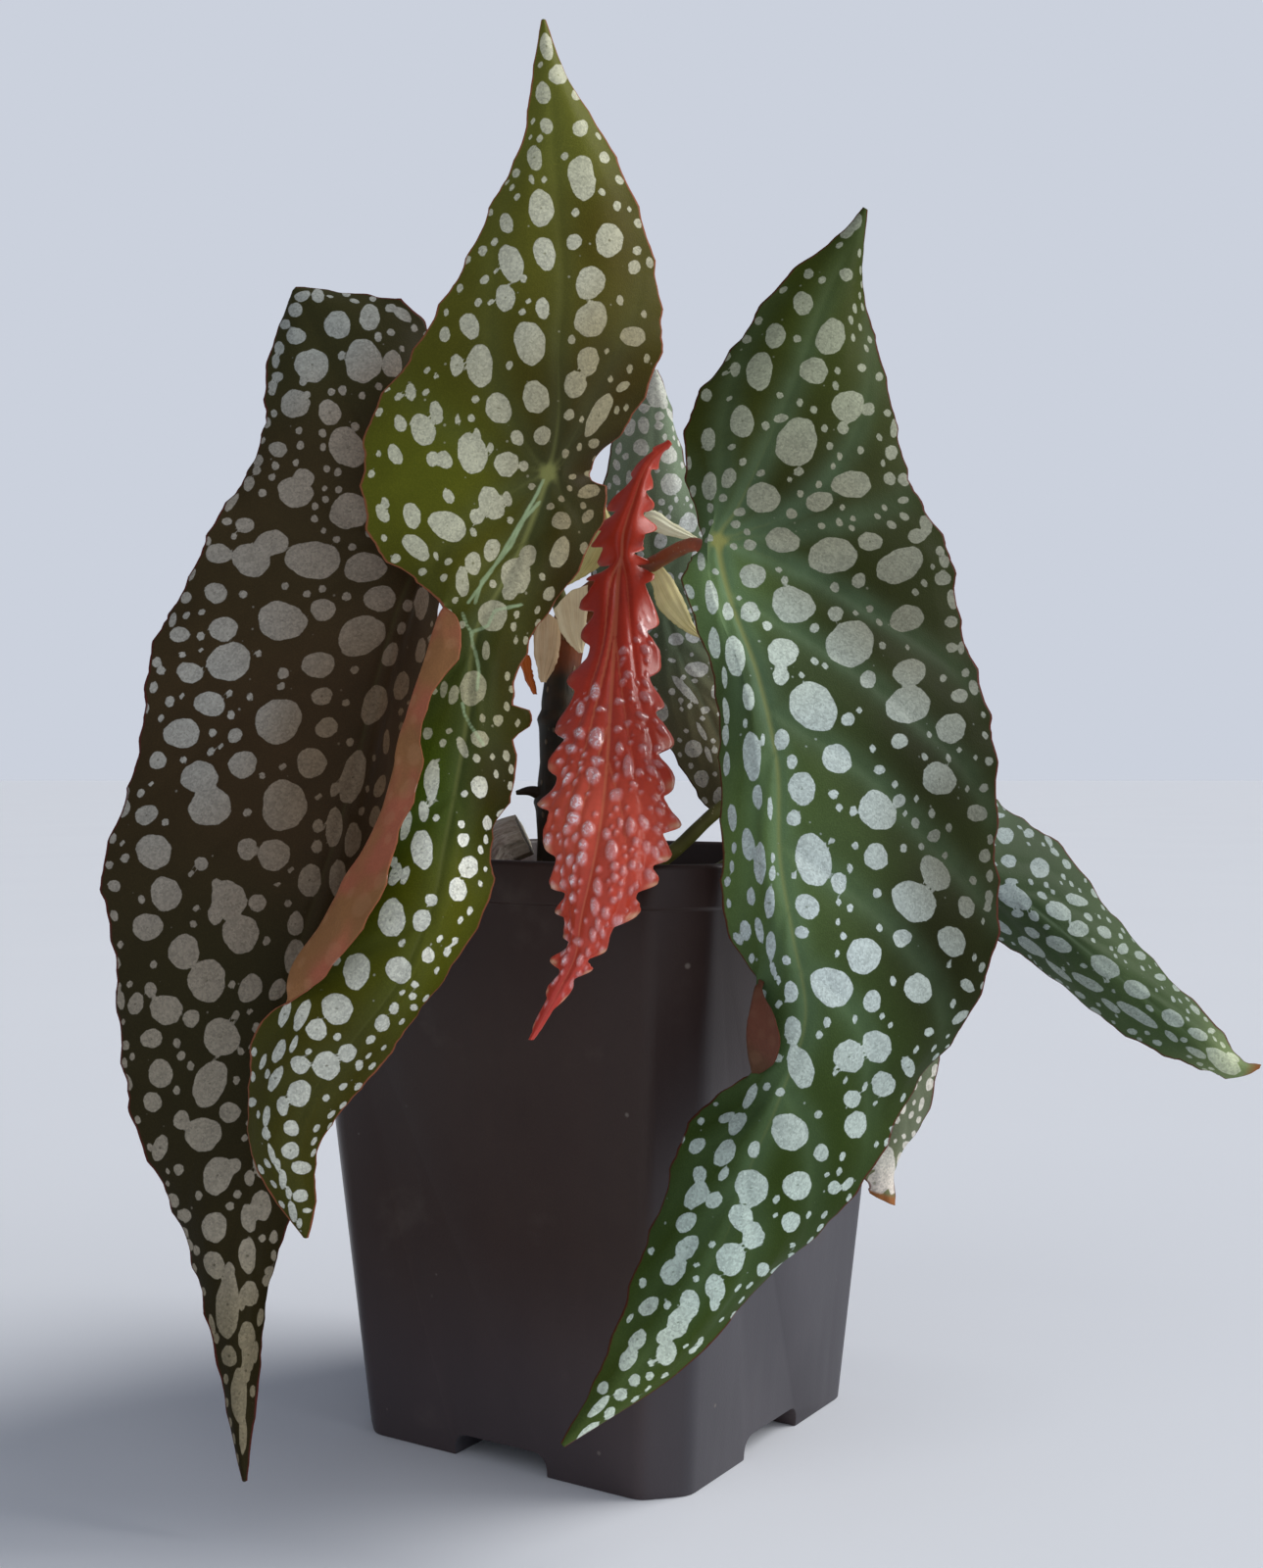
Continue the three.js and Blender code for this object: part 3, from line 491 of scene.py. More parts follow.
# Where each larger spot shows in the photograph: x, y, half its width and half its height
# in px, and, where it is turned, by how many degrees.
CENTRE_SPOTS = [
    (558, 50, 7, 14, -12), (570, 78, 10, 11, -20), (554.5, 97, 8, 11.5, -12), (588, 99, 5, 6, -30),
    (558, 130, 6.5, 9, -12), (592, 133, 8, 9), (546, 163, 8, 13, -8), (592, 178, 12.5, 19),
    (595, 190, 12.5, 17), (527, 178, 4, 5, 20), (543, 185, 3, 5, -15), (552.5, 214, 13, 20, -8),
    (616, 163, 6, 6, -40), (517, 229, 7, 11.5, -12), (629, 212, 5, 5), (501, 218, 3, 4, 20),
    (621, 247, 15, 17.5, 15), (586, 248, 8, 8.5), (556, 260, 11, 18.5, -8),
    (522, 270, 13, 20, -15), (535, 286, 4, 4), (493, 257, 5, 5.5), (476, 266, 5.5, 5),
    (650, 257, 5, 5), (647, 274, 7.5, 7), (663, 269, 4, 6, -20), (602, 290, 15.5, 17, 15),
    (516, 305, 10, 15, -10), (554, 316, 7.5, 11, -8), (470, 295, 3.5, 5), (603, 327, 17, 19, 10),
    (456, 320, 3, 4), (480, 334, 9.5, 14.5, -10), (455, 343, 6, 8.5), (541, 351, 17, 22, -10),
    (646, 344, 12.5, 11), (490, 374, 14, 22, -5), (467, 374, 7.5, 11), (600, 369, 12, 14.5),
    (587, 393, 12, 14, 20), (446, 385, 3, 4), (419.5, 400, 5.5, 10, -12), (547, 406, 13.5, 18, -5),
    (509, 417, 12.5, 17.5, -20), (611, 424, 9, 25, 30), (635, 395, 8, 4.5, -30),
    (581, 424, 5.5, 6), (445.5, 421, 7, 12, -20), (409, 433, 6.5, 9.5, -10),
    (432, 439, 13, 17, -15), (467.5, 429, 3, 6), (553.5, 445, 9, 10), (528, 447, 6.5, 9, -15),
    (482, 463, 16, 21.5, -20), (487, 444, 4, 7, -10), (501, 457, 3, 5.5, -10),
    (404, 465, 7, 12, -20), (442, 469, 7, 8), (454, 470, 8, 10, -15), (517, 474, 12.5, 14, -10),
    (535, 476, 4.5, 6), (387, 464, 3, 4, -20), (606, 453, 6, 5, -30), (458, 507, 5.5, 8.5, -25),
    (501.5, 514, 13, 18, -30), (518, 509, 5, 8.5, -10), (601, 502, 12, 7, -10), (584, 487, 4, 3),
    (602, 484, 6, 4), (487, 527, 8, 8, 30), (421, 527, 9, 14, -20), (391, 525, 6, 10.5, -30),
    (394, 514, 4, 6.5, -30), (457, 537, 22, 14, 30), (483, 543, 3.5, 5.5, -20), (573, 532, 10, 10),
    (600, 527, 5, 8, 30), (425, 559, 17, 10, 48), (502, 561, 8, 12, 25), (571, 564, 9, 18, 20),
    (539, 566, 9.5, 10.5), (483, 575, 9, 11), (527, 587, 16, 19, -20), (520, 604, 8, 9),
    (472, 594, 7, 16, -8), (560, 606, 6, 8, 30), (503, 628, 16, 16), (445, 567, 2.5, 5, -20),
    (496, 664, 4, 11), (453, 703, 4, 9, 10), (463, 709, 5, 11, 10), (483, 702, 14, 19),
    (490, 754, 10, 9, 35), (472, 762, 5, 12, -25), (441, 796, 8.5, 20, 5), (489, 803, 8.5, 12, -5),
    (432, 828, 5.5, 11, -5), (414, 843, 5, 16, 15), (497, 840, 5, 8, -10), (512, 830, 6, 4, -20),
    (508, 735, 5.5, 6), (473, 857, 7, 7), (431, 867, 12, 20, -5), (478, 885, 10, 12),
    (402, 880, 4, 6, 10), (404, 893, 6, 13, 15), (414, 894, 4, 10, 15), (384, 899, 6.5, 9, 10),
    (440, 918, 6.5, 7), (467, 908, 10, 12), (400, 937, 14, 20, 15), (430, 939, 9.5, 12, 10),
    (364, 991, 15, 19, 5), (407, 990, 13, 15, -15), (437, 975, 7, 8), (456, 971, 4, 6, 20),
    (464, 960, 4, 4), (424, 1005, 4, 4), (421, 1017, 4, 4), (422, 1028, 4, 4),
    (402, 1029, 5.5, 6.5), (344, 1030, 17, 16), (390, 1044, 8, 9), (308, 1036, 6.5, 18, 25),
    (290, 1035, 5, 14, 20), (323, 1051, 11.5, 10.5), (285, 1073, 6, 13, 20),
    (300, 1066, 3, 10, 20), (354, 1075, 9.5, 10), (268, 1084, 3, 9, 20), (306, 1087, 10, 10),
    (333, 1088, 14, 16), (366, 1087, 4.5, 5.5), (281, 1101, 5, 15, 25), (273, 1096, 3, 5, 10),
    (305, 1116, 13, 14), (288, 1129, 6.5, 10, -10), (333, 1121, 4, 4), (271, 1140, 4, 11, 5),
    (257, 1125, 5, 5), (297, 1152, 8, 9, -30), (271, 1157, 4.5, 7, -20), (296, 1175, 10, 8.5, -10),
    (277, 1178, 3, 12, -15), (307, 1192, 11, 7), (283, 1189, 3, 7, -5), (288, 1204, 4, 10),
    (306, 1221, 8, 7), (294, 1218, 3, 7, -5), (298, 1237, 4, 12, -10), (313, 1236, 5, 3),
    (305, 1249, 3, 5),
]
LEFT_SPOTS = [
    (302, 317, 7, 8), (309, 303, 9, 5, -20), (325, 303, 6.5, 7.5), (354, 300, 5, 4.5),
    (381, 306, 4, 3.5), (399, 316, 6, 5), (411, 322, 11, 6, 30), (423, 336, 4, 4),
    (345, 333, 13.5, 15), (377.5, 326, 11, 13.5), (292, 332, 6, 5), (303, 344, 9.5, 9.5),
    (286, 356, 5.5, 7.5), (282, 369, 4.5, 7), (319, 374, 17, 18.5, -15), (310, 391, 4, 4),
    (386, 346, 4, 5), (371, 370, 20, 22), (349, 364, 4, 5), (400, 373, 10, 15), (284, 385, 6, 5.5),
    (279, 394, 5, 5), (278, 400, 4.5, 4), (302, 413, 15, 15.5, -10), (314, 404, 4, 4),
    (337, 422, 12, 13, -20), (350, 398.5, 4.5, 5), (370, 404.5, 4, 4), (280, 422.5, 3.5, 4),
    (273, 432, 4, 6), (306, 440, 4, 4), (330, 443, 4, 4.5), (363, 435.5, 4.5, 4.5),
    (330.5, 457, 3.5, 4), (284, 459, 9, 8.5), (355, 457.5, 18.5, 22, -30), (264, 470, 6, 6, -20),
    (302, 472, 3.5, 4), (282, 476, 4, 4.5), (263, 481, 5, 4.5), (310, 488, 10.5, 10.5),
    (302, 503, 18.5, 16), (255, 494, 6, 8), (269, 504, 4.5, 4.5), (322, 517, 4, 4),
    (346, 500, 4, 4), (357, 522, 21, 19, 10), (237, 513, 4, 12, 38), (232, 532.5, 5.5, 4.5),
    (250, 536, 9.5, 8.5), (212.5, 552, 4, 5), (278, 554, 17, 14), (257.5, 572, 20, 18),
    (224, 565.5, 14.5, 10.5), (320, 571.5, 28, 21), (373, 579.5, 21.5, 16.5),
    (359.5, 558, 4.5, 4.5), (343.5, 550.5, 4, 4), (196, 586, 3.5, 8, 20), (221.5, 606, 12, 11),
    (190.5, 610.5, 6, 6.5), (249, 607.5, 4.5, 4.5), (291.5, 598.5, 4, 4), (354, 609, 5.5, 5),
    (388, 611, 17.5, 13, -15), (288, 634, 27, 20), (330, 622.5, 14, 11.5), (177, 633, 4, 8, 12),
    (184, 648, 10.5, 8.5), (228.5, 642, 15.5, 12), (369, 649, 28, 19, -30), (234, 675.5, 24, 20),
    (264.5, 667, 4, 4), (186.5, 668.5, 4, 3.5), (160.5, 676, 5.5, 5.5), (164.5, 684, 5, 5),
    (194, 686.5, 14, 11), (325, 678.5, 17.5, 14, -15), (289, 687, 6, 6), (286.5, 700.5, 4.5, 4),
    (329, 711, 11, 10, -10), (157, 701.5, 4.5, 6.5), (235, 707.5, 4, 4), (214.5, 718.5, 16.5, 13),
    (149.5, 723, 3, 6, 5), (284.5, 736, 25.5, 23.5, -5), (353.5, 717.5, 4.5, 4),
    (382, 719, 13, 21, 18), (334, 743, 12, 10.5, -15), (186, 748.5, 20, 15), (240, 750.5, 8, 8),
    (357, 757, 4, 5, 20), (161.5, 776, 9, 9.5), (248.5, 780.5, 16, 13.5, -15),
    (318, 778.5, 16.5, 15, -20), (204, 793, 20, 17, -15), (215, 823.5, 22.5, 20),
    (268, 792, 4, 3.5), (128.5, 807.5, 4, 6), (126.5, 824.5, 6, 10.5, 10),
    (149.5, 831.5, 12.5, 10.5, -15), (169.5, 839.5, 4.5, 4), (290, 822, 25, 26, 25),
    (115, 855.5, 4, 6), (157.5, 869, 19.5, 17.5), (128, 876, 5, 5), (111.5, 882.5, 4.5, 4.5),
    (205, 881.5, 7.5, 7.5), (252.5, 866.5, 11, 11.5), (280, 872.5, 18, 16, -25),
    (324.5, 843, 6, 7), (323.5, 864, 5.5, 8), (341, 844, 9, 20.5, 5), (360, 857, 9, 18, 8),
    (117, 904, 7.5, 6), (169, 912.5, 17, 17.5, 20), (116.5, 934.5, 4, 6.5, -15),
    (150.5, 946, 16, 15), (198, 943, 4, 4), (234, 918, 19, 20, -20), (221, 902, 5, 6),
    (245.5, 953, 20, 19.5), (263, 921.5, 9.5, 9), (220, 934, 8, 10), (284, 903, 4.5, 3),
    (316, 898.5, 11.5, 18.5, 8), (344.5, 896.5, 8.5, 21, 5), (301.5, 943, 8.5, 13, 10),
    (302, 979, 12.5, 20, 5), (119, 982.5, 4, 6.5, -10), (188.5, 971.5, 17, 18, 20),
    (211, 1001, 20, 22.5, 25), (255.5, 1008.5, 12, 15.5, 20), (121, 1007.5, 3, 5),
    (154.5, 1010, 6.5, 8), (139, 1024.5, 9, 11.5, 15), (123, 1021.5, 4.5, 9.5),
    (170, 1030.5, 16, 16.5, 25), (194.5, 1039.5, 8.5, 10, 10), (155, 1060, 11.5, 10),
    (226, 1058.5, 18.5, 21), (283, 1010, 8, 12, 25), (128, 1067, 5, 5), (184.5, 1077.5, 5, 5),
    (245.5, 1073.5, 4, 4), (214, 1106, 17, 25, 25), (163.5, 1096, 13, 15, 15), (126.5, 1085, 4, 5),
    (129.5, 1105, 5, 9, -20), (155, 1125, 10, 10.5), (240.5, 1103, 4, 4.5), (140, 1143, 3, 5, -20),
    (234, 1135.5, 12, 10.5, -15), (185.5, 1143.5, 9, 10), (207, 1158, 18.5, 19, 20),
    (163, 1172, 8, 14.5, 15), (182, 1194, 5.5, 6), (222, 1200, 16, 20, 10), (238, 1190, 8, 8),
    (152, 1171, 3, 4.5, -10), (176, 1225.5, 6, 8.5, -35), (187.5, 1241, 7.5, 7),
    (234, 1231.5, 4.5, 4.5), (218.5, 1253, 12.5, 17), (187.5, 1259, 4, 6.5, -15),
    (193, 1271.5, 3.5, 6, -15), (200, 1277, 4, 5.5), (266, 1188, 9, 16, -10), (254, 1203, 5.5, 9),
    (266, 1231, 10, 17), (253, 1244, 8, 15.5, -15), (252, 1282, 10, 18),
    (218, 1291.5, 10.5, 14.5, -15), (233.5, 1297, 6, 8), (231.5, 1333, 12.5, 36),
    (254, 1321.5, 9.5, 14), (246, 1328, 4, 12), (278.5, 1263, 4.5, 7), (278.5, 1282, 3, 6.5),
    (274.5, 1298, 6, 5), (273, 1307.5, 6, 7, 35), (251, 1365, 9.5, 15), (252.5, 1384, 6.5, 20),
    (233, 1385, 8, 11.5), (215.5, 1353, 3, 11, -8), (220, 1367, 3.5, 5.5), (265, 1345, 3.5, 9, 10),
    (260, 1381, 3, 11, 5), (243, 1425, 9, 28), (250, 1400, 5, 14), (247, 1465, 4, 22),
    (430, 615, 8, 17, 10), (416, 618, 5, 7, 10), (410, 641, 4.5, 6.5, 10), (399, 668, 8, 14, 20),
    (428, 664, 5, 14, 10), (440, 652, 5, 5), (410, 700, 6.5, 16, 12), (394.5, 757, 4, 14, 5),
    (360, 793, 13, 28, 15), (341, 806, 4, 8, 10), (387, 802.5, 6, 12.5, 18), (382, 834, 6, 12, 10),
]
RIGHT_SPOTS = [
    (872, 228, 7, 10, 20), (864, 238, 8, 6, -20), (825, 281, 5, 6), (863, 281, 7, 7),
    (819, 311, 10, 13, 8), (774, 328, 4, 5, 20), (791, 344, 11, 13, 10), (847, 345, 15, 19, 25),
    (762, 347, 5, 5), (741, 365, 4, 6, 40), (750, 377, 5.5, 7.5, 10), (775, 380, 14, 20),
    (830, 379, 14, 14.5, 20), (879, 376, 5.5, 4), (897, 385, 4, 5), (721, 404, 6, 7, 20),
    (865, 415, 15.5, 19, 60), (886, 418, 7, 6.5), (797, 427, 7.5, 5), (905, 422, 4.5, 4),
    (912, 438, 4.5, 10), (860, 438, 6.5, 6), (723, 449, 7, 13), (757, 431, 12, 18),
    (812.5, 452, 22, 25, 25), (746.5, 456.5, 4.5, 3.5), (908.5, 462.5, 7.5, 7.5), (703, 473, 3, 7),
    (743.5, 488, 8, 10.5, 15), (724, 496.5, 8, 14.5), (776.5, 483, 4.5, 4), (814.5, 482, 5.5, 5),
    (907, 489, 7, 6.5), (922, 490, 6, 7, -20), (868.5, 495, 19.5, 15),
    (778.5, 508.5, 17.5, 16.5, -20), (836, 512, 13.5, 11, -15), (808, 524, 5.5, 6),
    (755, 522.5, 6, 5), (751, 535, 5, 4.5), (707, 501.5, 3.5, 6.5), (724.5, 518, 3.5, 5.5),
    (922, 510.5, 5.5, 4), (944.5, 536, 6.5, 11, -15), (935, 548, 10, 8), (798.5, 551.5, 18, 13.5),
    (765.5, 555.5, 6.5, 6), (849, 567.5, 24.5, 20), (887, 553.5, 12.5, 10.5),
    (917, 578, 25, 18, -25), (876, 593, 7.5, 7.5), (958.5, 563, 5, 5), (963, 573.5, 6, 6.5),
    (961, 591, 9, 8), (715.5, 573.5, 4, 10), (768, 588, 14, 12.5, 20), (800.5, 592.5, 4, 4.5),
    (703.5, 603.5, 5, 8, -25), (726, 609.5, 7, 18, -5), (809, 617.5, 22.5, 19, 15),
    (972, 612, 6, 11, -10), (743.5, 623.5, 6, 9, -10), (766, 624.5, 11, 11), (852, 627, 8.5, 8),
    (888, 621, 4, 4), (925, 631.5, 17, 14), (970, 635, 7.5, 6), (783, 639, 5.5, 5.5),
    (831, 641, 5, 5), (729, 656.5, 6, 17, -8), (867.5, 657, 26, 23), (899.5, 659.5, 4, 4),
    (750, 669, 10, 22.5, -5), (798.5, 666.5, 17, 15, 20), (971, 661, 6, 5.5),
    (980.5, 661.5, 3.5, 7), (927.5, 686.5, 17.5, 14), (926, 720, 23.5, 19), (796.5, 690.5, 9, 9),
    (886, 693.5, 9, 9), (962, 692.5, 4, 4.5), (985.5, 686.5, 4, 5), (993.5, 701.5, 5, 8, -10),
    (978.5, 710.5, 9, 8), (739.5, 691.5, 3, 11, -5), (763.5, 711.5, 6.5, 14, -5),
    (829.5, 721.5, 22.5, 27.5, -35), (864.5, 735, 7, 7), (970, 743.5, 16, 14.5),
    (741, 725.5, 3.5, 14, -5), (760.5, 738, 3, 5), (798, 754.5, 8, 10.5),
    (740.5, 750, 3.5, 11, -3), (917, 757, 9, 8.5), (767.5, 771.5, 10, 24.5, -3),
    (778.5, 755, 2.5, 7), (854, 774.5, 16.5, 15.5, 15), (808, 777.5, 6, 7.5), (897.5, 785.5, 6, 5),
    (1009, 777, 4.5, 5), (741.5, 780, 3.5, 13), (957.5, 795, 18, 17.5), (818, 805, 14.5, 17, -10),
    (849.5, 811, 5.5, 5.5), (773, 813, 5.5, 13), (786, 825, 3, 12.5, -3), (1004, 804, 5, 4.5),
    (895, 827.5, 20, 21.5, -10), (918, 817, 7, 7), (869.5, 828.5, 4.5, 5.5),
    (747.5, 834, 5, 14, -5), (810, 835, 8, 8), (996.5, 830, 11, 9.5), (953.5, 853, 6.5, 7),
    (1010.5, 856.5, 3.5, 5.5), (763.5, 862, 6.5, 17, -8), (775.5, 881, 6.5, 23),
    (747, 884, 2.5, 7), (749.5, 865, 2.5, 6.5), (789, 875, 2.5, 6), (788.5, 891, 3.5, 8.5),
    (742.5, 899.5, 3.5, 5.5), (744, 922, 2.5, 5.5), (766.5, 915, 4.5, 10.5, -5),
    (786, 921, 5, 17.5), (761, 949.5, 6.5, 10.5, -8), (775.5, 949, 4, 15, -12),
    (786.5, 964, 4.5, 15), (789, 990, 3, 12, -18), (753, 958, 4, 7.5, -40),
    (795, 1001, 2.6, 6, -12), (830, 878, 19, 28, -20), (856.5, 901, 8, 12, -10),
    (848, 858.5, 3.5, 3.5), (810, 893.5, 3, 4), (823.5, 925.5, 11, 15, -40), (867, 926.5, 4, 4.5),
    (818.5, 951.5, 7, 6.5), (854, 941.5, 3, 4.5), (802.5, 980, 5, 5), (880.5, 975.5, 17.5, 20),
    (849, 1007.5, 20, 23, -40), (807.5, 1012.5, 8, 11), (889.5, 1022, 9.5, 11.5),
    (809.5, 1052, 9.5, 15), (817, 1089, 13, 23, -12), (866, 1078, 16.5, 18),
    (895, 1068, 14, 18, -25), (925.5, 1088, 6.5, 12, -25), (901.5, 1106.5, 12, 13),
    (851, 1094, 3, 4.5), (797, 1115, 5.5, 5), (869, 1121.5, 9.5, 10), (893, 875, 13, 13.5, -20),
    (921, 866, 4, 5), (953.5, 891.5, 15, 19.5, -35), (932, 920, 20, 24, -60), (895, 911.5, 5, 5),
    (985.5, 925.5, 9.5, 11.5), (1004.5, 873.5, 7, 7), (1010, 894, 4, 6.5),
    (1009.5, 914.5, 4.5, 6.5), (1008, 926, 4, 5), (921, 957.5, 9.5, 10, -30),
    (970, 960.5, 13.5, 17, -20), (968, 984.5, 3.5, 3.5), (1001.5, 987, 3.5, 6, 20),
    (937, 1009, 14.5, 17, -35), (986.5, 1006, 6, 9, -45), (980, 1038, 5, 10, 50),
    (947.5, 1053, 5.5, 5), (731, 1127, 3, 2.5), (766, 1119, 5, 15, 28), (752, 1147, 7, 14, 35),
    (742, 1141, 5, 9, 60), (711.5, 1169.5, 7, 10, 40), (740, 1177, 9.5, 16.5, 30),
    (770, 1173.5, 7, 9), (806.5, 1155.5, 19.5, 20, -20), (835, 1137.5, 4, 4.5),
    (873, 1148, 13, 14.5), (838.5, 1177, 7.5, 9), (714, 1199, 8, 9), (711, 1220, 10, 17, 35),
    (739, 1198.5, 4.5, 8.5, 35), (767, 1212.5, 17, 20), (813.5, 1210, 15.5, 16),
    (851, 1212, 6.5, 7.5), (865, 1208.5, 5, 8, 40), (729, 1225.5, 8, 9.5, 30),
    (700.5, 1248, 9, 12.5, 35), (757, 1243.5, 13, 15, -20), (769, 1262, 12, 14.5, 20),
    (806.5, 1247, 10.5, 10.5), (701, 1274, 10, 15, 35), (687, 1298, 12, 16, 30),
    (746, 1285.5, 15.5, 17), (778.5, 1296, 6.5, 7.5, 30), (791, 1298, 3, 5, 40),
    (710.5, 1306, 4, 4), (730, 1315, 10.5, 14), (729, 1331, 5.5, 8), (656, 1310, 4, 6, 10),
    (664.5, 1277.5, 4, 4), (662, 1334, 8.5, 12, 45), (704, 1331, 10.5, 15),
    (692.5, 1350.5, 12, 15.5, 20), (643, 1346, 2.5, 6, 30), (651, 1368.5, 8, 12, 30),
    (678.5, 1366, 9, 8.5), (680, 1382, 10.5, 12.5, 10), (641, 1388, 8.5, 13, 30),
    (664.5, 1392, 4, 4), (715, 1370, 3, 5.5, 30), (707.5, 1378.5, 3, 6, 50),
    (647.5, 1410, 6.5, 6.5), (615.5, 1417.5, 6, 7, 20), (633.5, 1424.5, 7, 7),
    (611, 1437, 5, 15, 45), (622, 1444, 5.5, 7.5, 30), (678.5, 1404.5, 2.5, 5, 60),
    (648, 1429, 2.5, 5, 50), (600, 1462, 5, 14, 50), (913, 1153, 5, 5), (906, 1166, 4, 5, 10),
    (697, 1163, 2.5, 5, 10), (809, 1271.5, 3.5, 3.5), (808, 1282, 4, 3.5), (797.5, 1293, 3, 5, 40),
    (750, 1343, 3, 6, 40),
]
BACK_SPOTS = [
    (669, 398, 13, 18), (671, 384, 7, 12), (677, 412, 5, 6), (657, 417, 6, 5),
    (673, 425, 5.5, 4.5), (657, 434.5, 6, 9, -15), (672.5, 435, 5, 4), (643, 437, 6.5, 9, 15),
    (685, 425, 3, 9, -30), (654.5, 457, 8, 9), (681.5, 464.5, 9.5, 9.5),
    (632, 458.5, 3.5, 6.5, 10), (639, 466.5, 3.5, 4, -20), (629.5, 475, 4, 6, -20),
    (643, 489.5, 3.5, 9.5), (629.5, 490.5, 4, 6, -20), (684.5, 494.5, 10.5, 12),
    (675, 512.5, 4, 3.5), (702.5, 534, 10, 11), (690, 652.5, 8.5, 6.5), (707, 650.5, 8.5, 5.5, 20),
    (711.5, 683, 12.5, 8, 10), (709, 695, 4, 2.5), (685.5, 674, 5, 2.5, 20),
    (699, 704, 20, 4.5, 48), (716, 746.5, 11, 3, 60), (723, 770, 3, 9, -20), (720, 724.5, 5, 4),
]
FAR_SPOTS = [
    (1025, 853, 9, 9), (1049.5, 851, 5.5, 5.5), (1020, 832, 5.5, 3), (1070, 858, 3, 7, -25),
    (1061.5, 843, 2.5, 6, -40), (1030, 878.5, 8.5, 6.5, 10), (1061.5, 886, 11, 10, 20),
    (1035.5, 915.5, 20, 11.5, 25), (1032.5, 899.5, 7, 3.5, 10), (1064.5, 913.5, 6, 3.5, 30),
    (1038.5, 932.5, 6.5, 4, 10), (1055.5, 935, 6.5, 5, 25), (1080.5, 929.5, 14, 9.5, 22),
    (1099, 918.5, 12.5, 5.5, 22), (1088.5, 882, 6, 4, 50), (1076, 870, 6, 3, 40),
    (1101, 948, 11.5, 8, 15), (1111.5, 935.5, 6, 3, 40), (1127.5, 951, 8.5, 6, 30),
    (1053.5, 952, 9, 4, 30), (1080.5, 964, 16, 7, 25), (1053, 966.5, 18, 5.5, 33),
    (1024, 946, 11, 4, 40), (1146.5, 968, 6, 5.5, 20), (1164, 975, 6.5, 4.5, 30),
    (1128, 986.5, 18, 9.5, 28), (1160.5, 1010, 15, 9, 30), (1110, 1003, 18, 5.5, 30),
    (1081, 991, 18, 3, 40), (1130, 1001, 4, 2.5), (1160.5, 1035.5, 26, 5.5, 33),
    (1134, 1026.5, 12, 3.5, 38), (1197.5, 1039.5, 13, 8, 28), (1174, 1029, 5, 3, 40),
    (1223.5, 1055.5, 11, 5.5, 30), (1196, 1058, 8.5, 3.5, 38), (1221.5, 1074.5, 12, 4, 30),
    (1249, 1083.5, 22, 9, 38), (1185, 997, 6, 3.5, 20), (1201, 1008, 5, 3.5, 45),
    (1237, 1052, 4, 3), (1259, 1079, 8, 3.5, 40),
]
# Pale lines that run from where the petiole meets the blade, as x, y in the photograph.
CENTRE_STREAKS = [
    [(555, 490), (548, 505), (522, 549), (498, 588), (478, 615)],
    [(551, 512), (535, 530), (522, 556), (507, 575), (492, 593), (485, 615)],
    [(472, 626), (476, 637), (481, 645), (483, 658), (486, 667), (489, 684), (487, 704)],
    [(533, 617), (505, 623), (498, 639), (481, 645)],
    [(472, 717), (474, 728), (481, 741), (494, 761)],
]
BLISTERS = [
    (608, 680, 4, 8), (607, 705, 6, 9), (592, 723, 4, 8, 10), (591, 748, 6, 7), (608, 753, 8, 12),
    (609, 776, 6, 6), (583, 764, 6, 6), (605, 791, 7, 10), (576, 753, 4, 4), (588, 819, 7, 8, 10),
    (585, 835, 7, 7, 10), (578, 846, 5, 6), (600, 846, 7, 8), (595, 862, 5, 6), (594, 876, 6, 8),
    (584, 898, 5, 7), (610, 905, 5, 10), (607, 925, 5, 10), (624, 868, 7, 11), (619, 851, 5, 6),
    (627, 884, 5, 5), (627, 895, 4, 5), (641, 782, 6, 12), (632, 764, 4, 7), (643, 843, 5, 10),
    (633, 839, 3, 6), (657, 839, 5, 9, -20), (660, 864, 4, 8, -10), (669, 871, 4, 9, -20),
    (677, 882, 4, 8, -20), (656, 764, 5, 5), (671, 764, 4, 4), (649, 859, 4, 5), (610, 943, 3, 8),
    (590, 961, 5, 5), (615, 952, 3, 7, -10), (605, 954, 4, 8), (584, 916, 4, 6), (574, 902, 4, 6),
    (644, 909, 3, 5), (633, 914, 3, 5), (592, 980, 4, 7, 10), (600, 972, 3, 5),
    (584, 1004, 3, 6, 15),
]
LOW_SPOTS = [
    (923, 1160, 3, 3), (926, 1170, 4.5, 5.5), (919.5, 1184.5, 4, 9, 10), (933, 1158, 2.5, 4),
    (938, 1143, 2.5, 4, 20), (941, 1127, 2.5, 8, 15), (949, 1107, 4, 7, 10),
    (954.5, 1092, 3.5, 6.5, 10), (894, 1187, 4.5, 9, 35), (903, 1194, 11, 25, 8),
    (893, 1208, 9, 11), (912, 1207, 6, 12, 8),
]

# ---------- blades ----------

BOW = 2  # how far the middle of a half blade stands forward of a straight line,
BOW_SHARE = 0.15  # and that as a share of the half blade's width, where it is narrow
NARROW = 12  # a blade of less than this width turns as one
EVEN_STEPS = 201
RIPPLE_POWER, TOOTH_POWER, KNOB_POWER = 4, 8, 9  # how closely each keeps to the margin
TOOTH_HALF = 0.3  # half of a plain tooth, as a share of its stretch of margin
HOOK_AT = 0.8  # how far down its stretch of margin a hooked tooth stands out most
ONCE_ROUND = 6.28  # about a full turn, for a wave's random start
UNEVEN, UNEVEN_LIFT = (28, 60), 0.22  # the slow waves of a whole blade: length and height, in mm
VEIN_STEPS = 500
LISTED_SHARE = 0.96  # the listed sizes take in a spot's soft edge
SEEN = 0.03  # a face that is turned to the camera by more than this can be seen
FAR_OFF = 30.0  # what a field of distances holds where nothing is near
HEART_PX, HEART_MM = 9, 1.6  # a spot of more than this radius is darker in its middle
RIB_ROOM, LISTED_ROOM = 0.7, 1.5  # how far scattered spots keep from the rib and listed spots
